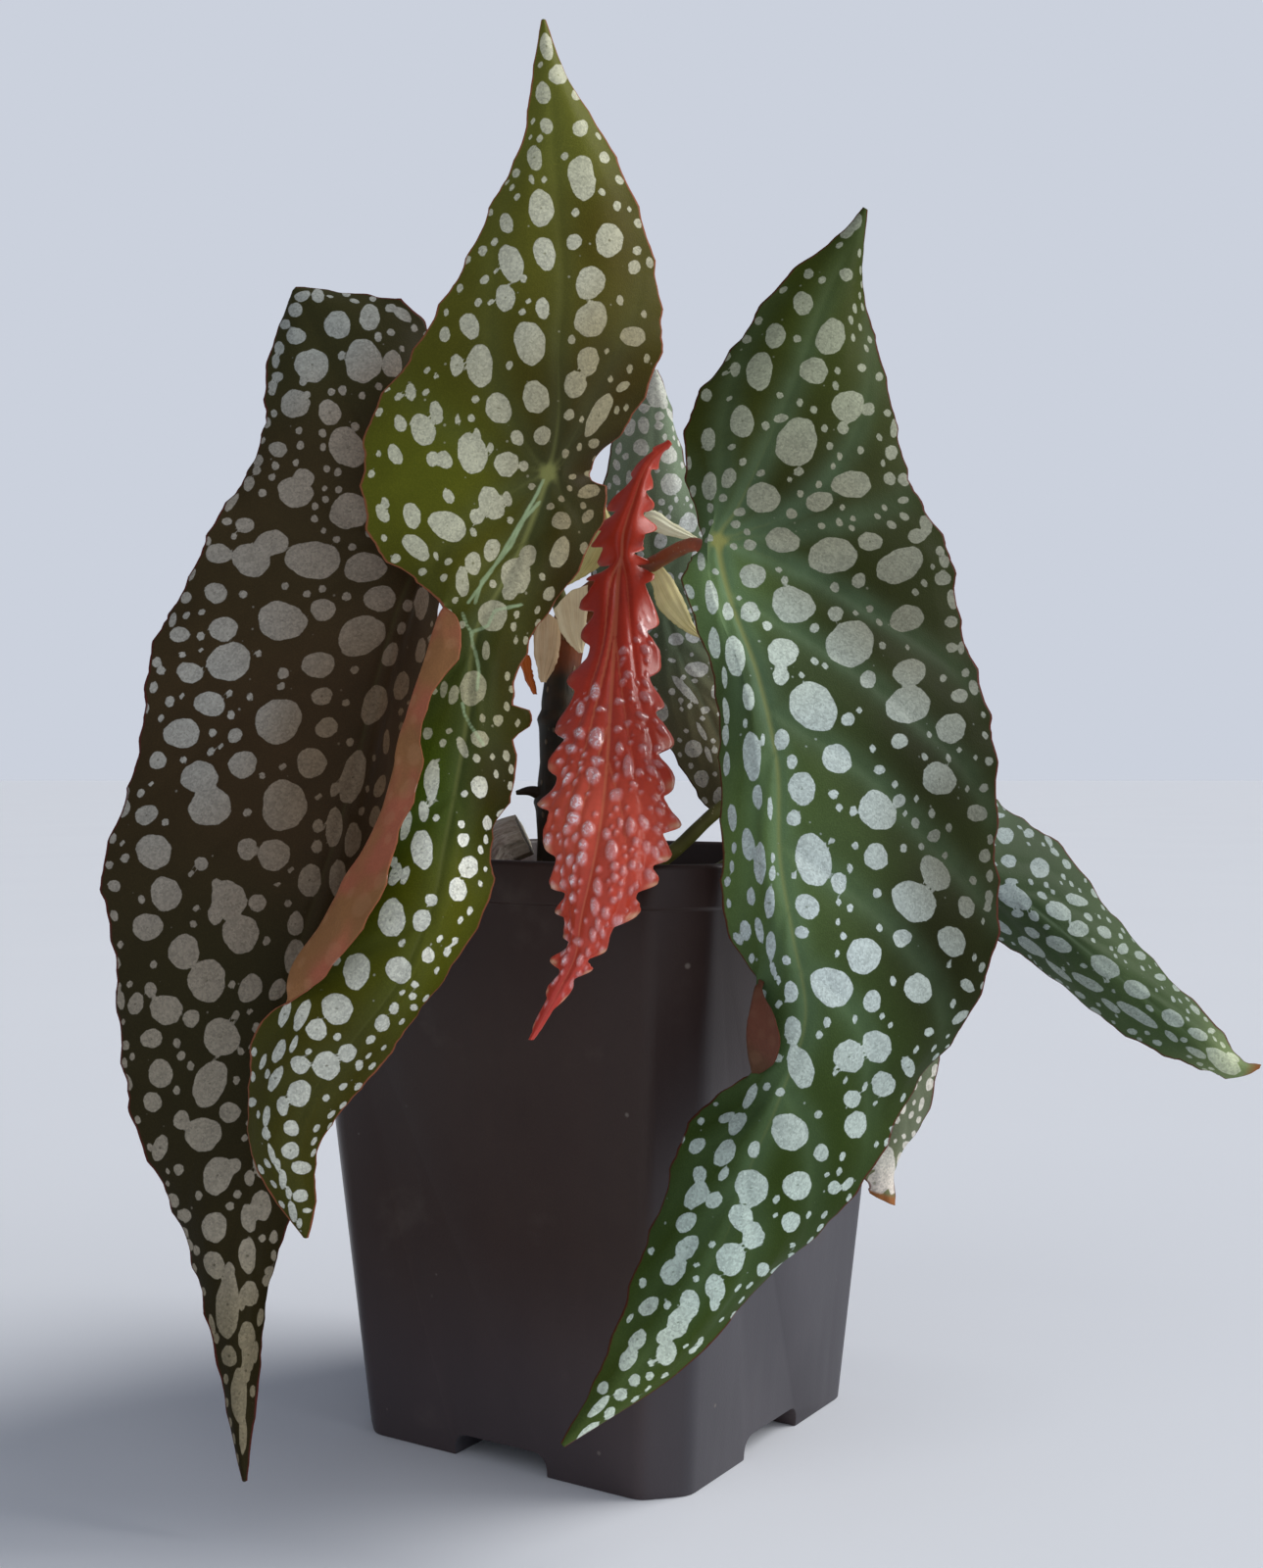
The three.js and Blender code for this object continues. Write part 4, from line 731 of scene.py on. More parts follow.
MARGIN_ROOM = 1.8  # and at most from the margin
SIZE_SPREAD = (0.75, 1.2)
HIDDEN_FROM = 1.3  # a scattered spot from this radius on stays out of sight, where asked
MARGIN_THICK, MARGIN_WIDE = 0.25, 4  # how thin a blade is at its margin, and how wide that is
TINT_BLEND = 60  # in mm squared: how softly a blade's tones run into one another
LEAF_THICK, STIPULE_THICK = 0.6, 0.35
SOFTEN = 6  # rows and columns to each side


def line_across(row):
    """Left edge, left middle, rib, right middle and right edge."""

    def middle(edge, rib):
        edge, rib = np.array(edge, float), np.array(rib, float)
        bow = min(BOW, BOW_SHARE * np.linalg.norm(edge - rib))
        return (edge + rib) / 2 - np.array([0, bow, 0])

    left, rib, right = (row[0], row[2], row[3]) if len(row) == 4 else row
    fold = row[1] if len(row) == 4 else middle(left, rib)
    return [left, fold, rib, middle(right, rib), right]


def lines_of(rows):
    return np.array([line_across(row) for row in rows], float)


def sheet(lines, s, t):
    """The middle surface: s counts lines from the upper tip, t runs -1 to 1 across."""
    columns = along(lines, s)
    return along(columns.swapaxes(0, 1), 2 * (np.asarray(t) + 1)).swapaxes(0, 1)


def teeth_along(s, t, teeth, hooked):
    """Where on its tooth's stretch of margin each place is, and how far it stands out there."""
    if not hooked:
        place = s * teeth % 1
        return place, part(1 - abs(place - 0.5) / TOOTH_HALF)
    side = np.where(t < 0, 0.0, 0.5)
    place = (s * teeth + side + 0.1 * np.sin(2.3 * s + 5 * side)) % 1
    rise = np.sin(np.pi / 2 * np.minimum(place / HOOK_AT, 1)) ** 1.9
    fall = np.cos(np.pi / 2 * part((place - HOOK_AT) / (1 - HOOK_AT))) ** 0.9
    return place, rise * fall * (0.88 + 0.2 * np.sin(3.7 * s + 9 * side)) - 0.12


class Blade:
    """The upper face of a blade, row by row, with what the painting needs to know."""

    def __init__(self, rows, down, across, seed, ripple=1.0, waves=2.2, tooth=0.8, teeth=1.5,
                 roll=0.5, hooked=False, knobs=()):
        rng = np.random.default_rng(seed)
        lines = lines_of(rows)
        self.end = len(rows) - 1
        self.s = np.linspace(0, self.end, down + 1)
        # columns that stand evenly apart
        even = np.linspace(-1, 1, EVEN_STEPS)
        rough = sheet(lines, self.s, even)
        reach = np.linalg.norm(np.diff(rough, axis=1), axis=2).mean(0)
        arc = np.append(0, np.cumsum(reach)) / reach.sum()
        self.t = np.interp(np.linspace(0, 1, across + 1), arc, even)
        points = sheet(lines, self.s, self.t)
        right = unit(np.gradient(points, self.t, axis=1))
        out = unit(np.cross(np.gradient(points, self.s, axis=0), right))
        width = np.linalg.norm(points[:, 0] - points[:, -1], axis=1)
        rib = np.argmin(abs(self.t))
        turn = part(width / NARROW)[:, None, None]
        out = unit(turn * out + (1 - turn) * out[:, rib:rib + 1])
        # ripples and teeth
        s, t = self.s[:, None], self.t[None, :]
        fade = np.minimum(1, 2.5 * np.sin(np.pi * s / self.end))
        lift = ripple * fade * abs(t) ** RIPPLE_POWER * np.sin(waves * s + 2 * t)
        place, peak = teeth_along(s, t, teeth, hooked)
        self.tooth_place = place + 0 * t
        push = tooth * fade * abs(t) ** TOOTH_POWER * peak
        # small waves and nicks of its own along the margin
        for power, size, per_line in ((3, 0.35, 4.3), (6, 0.3, 9.1)):
            turns = rng.uniform(0, ONCE_ROUND, 2)
            wave = np.sin(per_line * s + np.where(t < 0, turns[0], turns[1]))
            lift = lift + roll * size * fade * abs(t) ** power * wave
        nick = np.sin(17 * s + 3 * np.sin(5 * s + np.sign(t))) ** 3
        push = push + 0.25 * roll * fade * abs(t) ** TOOTH_POWER * nick
        for line, half, reach in knobs:
            push = push + reach * np.exp(-((s - line) / half) ** 4) * part(t) ** KNOB_POWER
        # a slow unevenness of the whole blade
        for _ in range(4):
            wave = rng.normal(0, 1, 3)
            wave *= 2 * np.pi / (rng.uniform(*UNEVEN) * np.linalg.norm(wave))
            wave = np.sin(points @ wave + rng.uniform(0, ONCE_ROUND))
            lift = lift + UNEVEN_LIFT * roll * fade * wave
        self.points = points + out * lift[..., None] + right * (np.sign(t) * push)[..., None]
        self.right, self.out = right, out
        self.down_way = np.cross(right, out)
        # what the painting needs to know
        steps = np.linalg.norm(np.diff(self.points, axis=1), axis=2)
        from_left = np.pad(np.cumsum(steps, axis=1), ((0, 0), (1, 0)))
        self.edge = np.minimum(from_left, from_left[:, -1:] - from_left)
        self.width = from_left[:, -1:] + 0 * t
        self.share = s / self.end + 0 * t
        self.across = t + 0 * s
        self.px, self.py, self.px_mm = in_photo(self.points)
        view = unit(self.points - CAMERA_AT)
        self.facing = -(view * self.out).sum(-1)

    def at(self, s, t):
        """The place on the upper face at line s and share t across it."""
        last = len(self.s) - 1
        i = np.clip(np.rint(np.asarray(s) / self.end * last).astype(int), 0, last)
        j = np.clip(np.searchsorted(self.t, t), 0, len(self.t) - 1)
        return self.points[i, j]

    def nearest(self, places):
        """For each point of the face, how far the nearest place is, and its number."""
        tree = kdtree.KDTree(len(places))
        for n, place in enumerate(places):
            tree.insert(place, n)
        tree.balance()
        found = [tree.find(point) for point in self.points.reshape(-1, 3)]
        shape = self.edge.shape
        return (np.array([f[2] for f in found]).reshape(shape),
                np.array([f[1] for f in found]).reshape(shape))

    def grow_veins(self, meets, left, right, seed):
        """Distances to the midrib and to the side veins, and how stout the vein is there."""
        rng = np.random.default_rng(seed)
        runs = [(meets, self.end, 0, 1.0, 1.0), (meets, 0.2, 0, 1.0, 0.75)]
        for side, starts in ((-1, left), (1, right)):
            for first, last, stout in starts:
                runs.append((first, last + rng.uniform(-0.2, 0.2), 0.95 * side, 1.35, stout))
        u = np.linspace(0, 1, VEIN_STEPS)
        places = np.vstack([self.at(first + (last - first) * u ** power, out * u)
                            for first, last, out, power, _ in runs])
        stout = np.concatenate([run[-1] * (1 - 0.8 * u) for run in runs])
        self.vein_gap, number = self.nearest(places)
        self.stout = stout[number]
        self.rib_gap = self.nearest(places[:2 * VEIN_STEPS])[0]
        self.from_base = np.linalg.norm(self.points - self.at(meets, 0), axis=-1)

    def spot_field(self, listed, sizes, seed, crowd=1.0, stretch=1.15, shown=False):
        """Distance in mm to the nearest spot's outline, less than nothing inside it."""
        rng = np.random.default_rng(seed)
        flat, right, down = (way.reshape(-1, 3)
                             for way in (self.points, self.right, self.down_way))
        edge, rib_gap, vein_gap = self.edge.ravel(), self.rib_gap.ravel(), self.vein_gap.ravel()
        px, py, px_mm = self.px.ravel(), self.py.ravel(), self.px_mm.ravel()
        seen = self.facing.ravel() > SEEN
        field = np.full(len(flat), FAR_OFF)
        heart = field.copy()

        def outline(a, b):
            """How uneven the outline is, by its direction."""
            angle = np.arctan2(b, a)
            turns = rng.uniform(0, ONCE_ROUND, 3)
            return (1 + 0.05 * np.sin(2 * angle + turns[0]) + 0.035 * np.sin(3 * angle + turns[1])
                    + 0.02 * np.sin(7 * angle + turns[2]))

        for x, y, half_wide, half_tall, *tilt in listed:
            a, b = px - x, py - y
            away = np.hypot(a, b)
            tilt = math.radians(tilt[0] if tilt else 0)
            c, s = math.cos(tilt), math.sin(tilt)
            a, b = (c * a + s * b) / half_wide, (c * b - s * a) / half_tall
            middle = (half_wide + half_tall) / 2
            ring = np.hypot(a, b) / outline(a, b)
            gap = (ring - LISTED_SHARE) * middle * px_mm
            field = np.minimum(field, np.where(seen, gap, FAR_OFF))
            if middle > HEART_PX:
                heart = np.minimum(heart, np.where(seen, away * px_mm, FAR_OFF))
        for radius, tries in sizes:
            for n in rng.integers(0, len(flat), tries):
                r = radius * rng.uniform(*SIZE_SPREAD)
                if edge[n] < min(0.85 * r, MARGIN_ROOM) or rib_gap[n] < r + RIB_ROOM:
                    continue
                if vein_gap[n] < 0.5 * r and r > 1.5:
                    continue
                room = LISTED_ROOM if listed and seen[n] and r > 0.9 else 0
                if field[n] < r + crowd * (0.5 + 0.28 * r) + room:
                    continue
                away = flat - flat[n]
                reach = np.abs(away).max(1)
                if shown and r > HIDDEN_FROM and seen[reach < 1.3 * r + 1].any():
                    continue
                near = reach < 3 * r + 4
                a, b = away[near] @ right[n], away[near] @ down[n]
                c = away[near] @ np.cross(right[n], down[n])
                tall = r * rng.uniform(1.0, stretch)
                ring = np.sqrt((a / r) ** 2 + (b / tall) ** 2 + (c / (3 * r)) ** 2) / outline(a, b)
                field[near] = np.minimum(field[near], (ring - 1) * r)
                if r > HEART_MM:
                    heart[near] = np.minimum(heart[near], np.hypot(a, b))
        self.field = field.reshape(self.edge.shape)
        self.heart = heart.reshape(self.edge.shape)

    def line_field(self, lines):
        """Distance in px, as the photograph shows it, to the nearest of the lines."""
        field = np.full(self.edge.shape, FAR_OFF)
        for line in lines:
            for (x0, y0), (x1, y1) in zip(line, line[1:]):
                a, b = x1 - x0, y1 - y0
                u = part(((self.px - x0) * a + (self.py - y0) * b) / (a * a + b * b))
                gap = np.hypot(self.px - x0 - u * a, self.py - y0 - u * b)
                field = np.minimum(field, np.where(self.facing > SEEN, gap, FAR_OFF))
        return field

    def tint(self, anchors):
        """A colour all over, from a few (colour, line, share across) and perhaps a weight."""
        total = np.zeros(self.edge.shape)
        colour = np.zeros(self.edge.shape + (3,))
        for value, s, t, *weight in anchors:
            gap = np.linalg.norm(self.points - self.at(s, t), axis=-1)
            pull = (weight[0] if weight else 1) / (gap ** 2 + TINT_BLEND) ** 1.5
            total += pull
            colour += pull[..., None] * np.array(shade(*value)[:3])
        colour /= total[..., None]
        return np.dstack([colour, np.ones(self.edge.shape)])


def grid_from(name, points):
    """A grid primitive, moved to the rows and columns of points."""
    rows, columns = points.shape[:2]
    piece = begin(name, bpy.ops.mesh.primitive_grid_add, x_subdivisions=columns - 1,
                  y_subdivisions=rows - 1, size=2)
    flat = read(piece)
    column = np.rint((flat[:, 0] + 1) / 2 * (columns - 1)).astype(int)
    row = np.rint((1 - flat[:, 1]) / 2 * (rows - 1)).astype(int)
    write(piece, points[row, column])
    return piece, row, column


def soften(ways, reach):
    """Directions averaged over the rows and the columns around each one."""
    for axis in (0, 1):
        pad = [(reach, reach) if n == axis else (0, 0) for n in range(3)]
        padded = np.pad(ways, pad, mode="edge")
        count = ways.shape[axis]
        ways = sum(np.take(padded, np.arange(k, k + count), axis) for k in range(2 * reach + 1))
    return unit(ways)


def blade_piece(name, blade, finishes, painted, thick, relief, under_relief=0.0):
    """The upper face, thickened, with its painted values and its two finishes."""
    upper = blade.points + blade.out * relief[..., None]
    piece, row, column = grid_from(name, upper)
    for finish in finishes:
        piece.data.materials.append(finish)
    apply(piece, "SOLIDIFY", thickness=thick * MM, offset=-1, material_offset=1,
          material_offset_rim=0)
    depth = MARGIN_THICK + (thick - MARGIN_THICK) * part(blade.edge / MARGIN_WIDE) + under_relief
    lower = upper - soften(blade.out, SOFTEN) * depth[..., None]
    write(piece, np.vstack([upper[row, column], lower[row, column]]))
    for layer, values in painted.items():
        one = values[row, column]
        paint(piece, layer, np.concatenate([one, one]))
    smooth(piece)
    return piece


def vein_strength(blade, wide):
    """1 on the line of a vein and 0 away from it, wider near where it starts."""
    return bell(blade.vein_gap, wide * (0.35 + 0.65 * blade.stout)) * part(0.25 + blade.stout)


def fan_of(meets, end, reach, count):
    """Side veins: a few that radiate from the base, then others along the midrib."""
    veins = [(meets, meets - reach, 0.8), (meets, meets - 0.35 * reach, 0.75),
             (meets, meets + 0.5 * reach, 0.85)]
    for n in range(count):
        start = meets + (n + 0.6) * (end - meets - 3) / count
        veins.append((start, start + 2.6, 0.7 - 0.3 * n / count))
    return veins


def spotted_leaf(name, slot, rows, size, meets, fans, listed, sizes, tones_and_shading, silvers_and_shading, finishes,
                 seed, dry=(1, 1), shown=False, streaks=(), sheen=0.0, **shape):
    """A leaf. Its petiole meets line number meets; a fan is its side veins' reach and count
    on one side, and dry says where its dry tip begins and how soon it is dry all over."""
    blade = Blade(rows, *size, seed, **shape)
    left, right = (fan_of(meets, blade.end, *fan) for fan in fans)
    blade.grow_veins(meets, left, right, seed)
    blade.spot_field(listed, sizes, seed + 50, shown=shown)
    vein_gap, stout = blade.vein_gap, blade.stout
    # painted veins
    fan, star = bell(blade.from_base, 16), bell(blade.from_base, 1.6)
    midrib = bell(blade.rib_gap, 0.9) * part(stout)
    midrib = midrib * np.where(blade.share * blade.end > meets, 1.0, 0.5)
    vein = vein_strength(blade, 1.1) * (0.3 + 0.14 * fan) + 0.8 * star + 0.4 * midrib
    # relief, which fades out towards the tips and the margin
    groove = 0.45 * bell(vein_gap, 1.1) * part(stout + 0.2)
    pillow = 0.5 * (1 - bell(vein_gap, 6)) * part(blade.edge / 6)
    taper = part(blade.width / 14)
    calm = taper * part((blade.edge - 2) / 5)
    rib = 1.1 * bell(blade.rib_gap, 1.2) * part(0.25 + stout)
    side = 0.45 * bell(vein_gap, 0.8) * part(stout + 0.15)
    painted = {
        "tone_and_shading": blade.tint(tones_and_shading),
        "silver_and_shading": blade.tint(silvers_and_shading),
        "spot": blade.field,
        "heart": blade.heart,
        "vein": part(vein),
        "edge": blade.edge,
        "dry": part((blade.share - dry[0]) / dry[1]),
        "streak": blade.line_field(streaks),
        # painted sheen, strongest by the stout veins
        "sheen": sheen * bell(vein_gap, 3.2) * part(stout),
    }
    piece = blade_piece(name + "_blade", blade, finishes, painted, LEAF_THICK,
                        taper * pillow - calm * groove, calm * np.maximum(rib, side))
    keep(piece, slot, name)


# radius in mm and number of tries of the scattered spots
SPOT_SIZES = [(5.2, 500), (4.0, 700), (2.8, 1000), (1.8, 1000), (1.0, 800), (0.75, 500)]
SMALL_SIZES = [(3.0, 400), (2.2, 700), (1.4, 700), (0.8, 600), (0.6, 300)]

OLIVE_TOP = leaf_top("leaf_top_olive", shade(74, 68, 42), 0.48, 0.06)
BRIGHT_TOP = leaf_top("leaf_top_bright", shade(140, 142, 84), 0.44, 0.05, shade(150, 86, 64))
DEEP_TOP = leaf_top("leaf_top_deep", shade(150, 148, 84), 0.42, 0.03)
BLUE_TOP = leaf_top("leaf_top_blue", shade(132, 152, 122), 0.48, 0.08)
UNDER = leaf_under("leaf_underside", (150, 104, 64), (186, 138, 100), (170, 98, 72))
# The right leaf's darker brown underside is partly its own colour and partly painted shade, as its
# flap lies in shadow.
UNDER_BROWN = leaf_under("leaf_underside_brown", (88, 58, 38), (128, 92, 68), (104, 62, 46))
UNDER_DARK = leaf_under("leaf_underside_dark", (104, 44, 46), (150, 84, 70), (98, 54, 40))

# The tone and silver tables hold painted shade and light besides each leaf's own colours: darker
# where a blade is turned from the light or lies in shade, paler where it is lit.
spotted_leaf(
    "leaf_left", "leaf_olive", LEFT_LEAF, (340, 110), 6, ((4, 5), (3, 4)), LEFT_SPOTS, SPOT_SIZES,
    # partly painted shade: the tones are darker olive-brown than the leaf's own colour, as it lies
    # in shade, and the silver turns taupe on its shaded right half
    [((52, 50, 26), 1, 0), ((57, 47, 28), 5, -0.5), ((54, 41, 25), 9, 0),
     ((64, 48, 32), 9, 0.8), ((46, 41, 22), 12, -0.4), ((42, 36, 17), 16, 0)],
    [((156, 159, 152), 1, 0), ((142, 130, 114), 4, 0.2), ((160, 158, 150), 8, -0.8),
     ((116, 100, 80), 9, 0), ((108, 84, 58), 9, 0.8), ((150, 142, 126), 14, -0.3),
     ((132, 122, 98), 16.5, 0)],
    (OLIVE_TOP, UNDER_DARK), 11)
spotted_leaf(
    "leaf_centre", "leaf_bright", CENTRE_LEAF, (360, 110), 7, ((5, 5), (4, 5)), CENTRE_SPOTS,
    SPOT_SIZES,
    # painted shade and light: darker brown right of the midrib and on the shaded side of the lower
    # fold, bright green on the fold's lit side, and paler silver low down where the blade is lit
    [((100, 102, 38), 2, -0.3), ((92, 92, 32), 3.5, -0.5), ((74, 66, 18), 3.5, 0.5),
     ((56, 45, 14), 6, 0.7), ((48, 37, 14), 7, 0.8), ((90, 94, 24), 7, -0.6),
     ((78, 76, 20), 8.5, -0.3), ((46, 36, 12), 9, 0.8), ((64, 74, 16), 10.5, -0.1, 0.8),
     ((72, 92, 18), 12, -0.25), ((46, 36, 14), 12, 0.6, 1.2), ((50, 42, 14), 10.6, 0.6),
     ((84, 86, 17), 14, 0), ((62, 58, 16), 17, 0)],
    [((192, 192, 164), 2, -0.4), ((198, 198, 176), 4, -0.3), ((146, 137, 106), 5, 0.5),
     ((196, 196, 170), 7, -0.6), ((134, 122, 92), 8, 0.8), ((154, 150, 118), 11, 0.3),
     ((236, 238, 224), 13, 0), ((192, 194, 182), 17, 0)],
    (BRIGHT_TOP, UNDER), 12, ripple=0.6, shown=True, sheen=0.25, streaks=CENTRE_STREAKS,
    knobs=((11.3, 0.14, 6.5),))
spotted_leaf(
    "leaf_right", "leaf_deep", RIGHT_LEAF, (350, 110), 6, ((4, 5), (4, 6)), RIGHT_SPOTS,
    SPOT_SIZES,
    # painted shade and sheen: the right half, turned from the light, is dark brown-olive, and
    # paler tones and silver along the midrib stand in for a sheen
    [((58, 66, 22), 2, 0), ((54, 58, 19), 4, -0.5), ((40, 41, 14), 5, 0.3),
     ((38, 41, 14), 7, 0.6, 1.5), ((32, 35, 11), 9, 0.7, 1.5), ((92, 114, 64), 7, -0.6),
     ((90, 112, 60), 10, -0.7), ((58, 70, 42), 8, 0.12, 0.5), ((62, 78, 46), 10, 0.15, 0.5),
     ((30, 32, 10), 11, 0.7, 1.5), ((56, 72, 38), 12, 0.12, 0.5), ((54, 70, 28), 13.5, -0.4),
     ((44, 58, 20), 14, 0.4), ((54, 70, 26), 15.5, 0), ((68, 82, 29), 17.5, 0)],
    [((150, 154, 130), 3, 0.1), ((134, 134, 114), 5, 0.4), ((116, 116, 100), 7, 0.7),
     ((200, 212, 198), 8, -0.6), ((182, 194, 190), 9, 0.12), ((100, 101, 88), 10, 0.8),
     ((186, 198, 196), 11, 0.1), ((168, 180, 172), 13, 0), ((186, 202, 192), 15, 0),
     ((206, 218, 200), 17, 0)],
    (DEEP_TOP, UNDER_BROWN), 13, shown=True, sheen=1.0)
spotted_leaf(
    "leaf_back", "leaf_blue", BACK_LEAF, (180, 74), 4, ((2, 3), (2, 3)), BACK_SPOTS, SMALL_SIZES,
    [((124, 140, 114), 1.5, 0), ((98, 114, 90), 4, 0), ((130, 124, 92), 7, 0)],
    [((206, 208, 194), 1, 0), ((192, 198, 196), 4, 0), ((244, 242, 226), 7, 0)],
    (BLUE_TOP, UNDER_DARK), 14)
spotted_leaf(
    "leaf_far_right", "leaf_blue", FAR_LEAF, (200, 70), 3, ((1.5, 4), (1.5, 4)), FAR_SPOTS,
    SMALL_SIZES,
    [((104, 118, 100), 1.5, 0), ((54, 70, 42), 5, 0), ((62, 80, 46), 7.5, 0),
     ((120, 136, 88), 9.4, 0, 0.6)],
    [((152, 164, 162), 3, 0), ((148, 160, 150), 7.5, 0), ((196, 204, 168), 9.4, 0, 0.6)],
    (BLUE_TOP, UNDER_DARK), 15, dry=(0.93, 0.05))
spotted_leaf(
    "leaf_low_right", "leaf_blue", LOW_LEAF, (140, 74), 2, ((1, 3), (1, 3)), LOW_SPOTS,
    SMALL_SIZES,
    [((70, 88, 64), 3, 0), ((94, 102, 80), 6, 0.5), ((118, 120, 84), 7.3, 0, 0.7)],
    [((150, 160, 154), 3, 0), ((196, 196, 182), 6.5, 0), ((218, 206, 194), 7.6, 0)],
    (BLUE_TOP, UNDER), 16, dry=(0.95, 0.02))


# ---------- the young red leaf ----------


def red_finish():
    """Glossy red with pale raised blisters, peach veins and cream tooth tips. The blisters are
    paler on the left half, which faces the light, and carry painted glints.
    """
    made = Finish("leaf_top_red", Coat_Roughness=0.12, Specular_IOR_Level=0.3)
    spot, vein, edge = made.attributes("spot", "vein", "edge")
    pale, tip = made.attributes("pale", "tip")
    tone_and_shading = made.attribute("tone_and_shading", "Color")
    cloud = made.noise(5.0, 4.0)
    grain = made.noise(0.7, 3.0)
    wobble = made.noise(0.8, 3.0) - 0.5
    colour = made.lit(tone_and_shading, 0.72 + 0.36 * cloud + 0.2 * grain)
    colour = made.mix(made.step(vein, 0.3, 0.9) * 0.75, colour, shade(228, 122, 86))
    blister = made.step(spot + 0.5 * wobble, 0.3, -0.5)
    # painted light: blisters are paler where 'pale' is high, on the left half that faces the light
    colour = made.mix(blister * (0.4 + 0.3 * pale), colour, shade(238, 176, 176))
    # painted highlight: white glints inside the blisters, most on the lit left half
    painted_glint = made.step(made.noise(0.75, 2.0), 0.5, 0.58) * made.step(spot, -0.1, -0.5)
    colour = made.mix(painted_glint * (0.15 + 0.75 * pale), colour, shade(255, 236, 242))
    colour = made.mix(tip * 0.8, colour, shade(238, 200, 160))
    colour = made.mix(made.step(edge, 0.5, 0.1) * 0.4, colour, shade(206, 96, 76))
    made.bump(grain, 0.1, 0.35)
    return made.close(Base_Color=colour, Roughness=0.4 - 0.14 * blister,
                      Coat_Weight=0.2 + 0.8 * blister)


def red_leaf():
    """The young leaf. Its blisters lie on its lower half, and its hooked teeth end pale."""
    blade = Blade(RED_LEAF, 400, 84, 17, ripple=0.5, waves=6, tooth=3.6, teeth=1.45, roll=0.6,
                  hooked=True)
    blade.grow_veins(4, [(4, 9, 0.8), (5.6, 11, 0.8), (7.4, 12.2, 0.6)],
                     [(4, 9, 0.5), (6, 11.4, 0.5), (8, 12.4, 0.5)], 17)
    blade.spot_field(BLISTERS, [(1.1, 500), (0.7, 700), (0.4, 600)], 71, 0.4, 1.7)
    low = part((blade.share + 0.06 * blade.across - 0.44) / 0.06)
    dome = 0.7 * part(-blade.field / 0.9 + 0.15) ** 0.7 * low
    groove = 0.4 * bell(blade.vein_gap, 0.8)
    taper = part(blade.width / 8) * part(blade.edge / 1.5)
    teeth = part((abs(blade.across) - 0.88) / 0.12)
    tip = teeth * bell(blade.tooth_place - HOOK_AT, 0.09)
    tip = tip * np.clip((blade.share - 0.5) / 0.15, 0.15, 1)
    rib = 0.8 * bell(blade.rib_gap, 0.8) + 0.25 * bell(blade.vein_gap, 0.6)
    painted = {
        # the paler, pinker lower left is partly the leaf's own colour and partly painted light,
        # where that side faces the light
        "tone_and_shading": blade.tint([((206, 64, 40), 2, 0), ((196, 54, 32), 6, 0.2),
                            ((192, 60, 38), 8, 0.8), ((218, 92, 70), 9, -0.6),
                            ((196, 66, 44), 11, 0.3), ((196, 60, 50), 13.5, 0)]),
        "spot": np.where(low > 0.2, blade.field, 3.0),
        "vein": vein_strength(blade, 0.6),
        "edge": blade.edge,
        "tip": tip,
        # painted light: high on the left half, which faces the light, and falling off to the right
        "pale": part(0.4 - 1.1 * blade.across),
    }
    under = leaf_under("leaf_underside_red", (150, 40, 40), (206, 96, 78), (168, 52, 40))
    piece = blade_piece("leaf_red_blade", blade, (red_finish(), under), painted, LEAF_THICK,
                        taper * (dome - groove), taper * rib)
    keep(piece, "leaf_red", "leaf_new_red")


red_leaf()

# ---------- stipules ----------

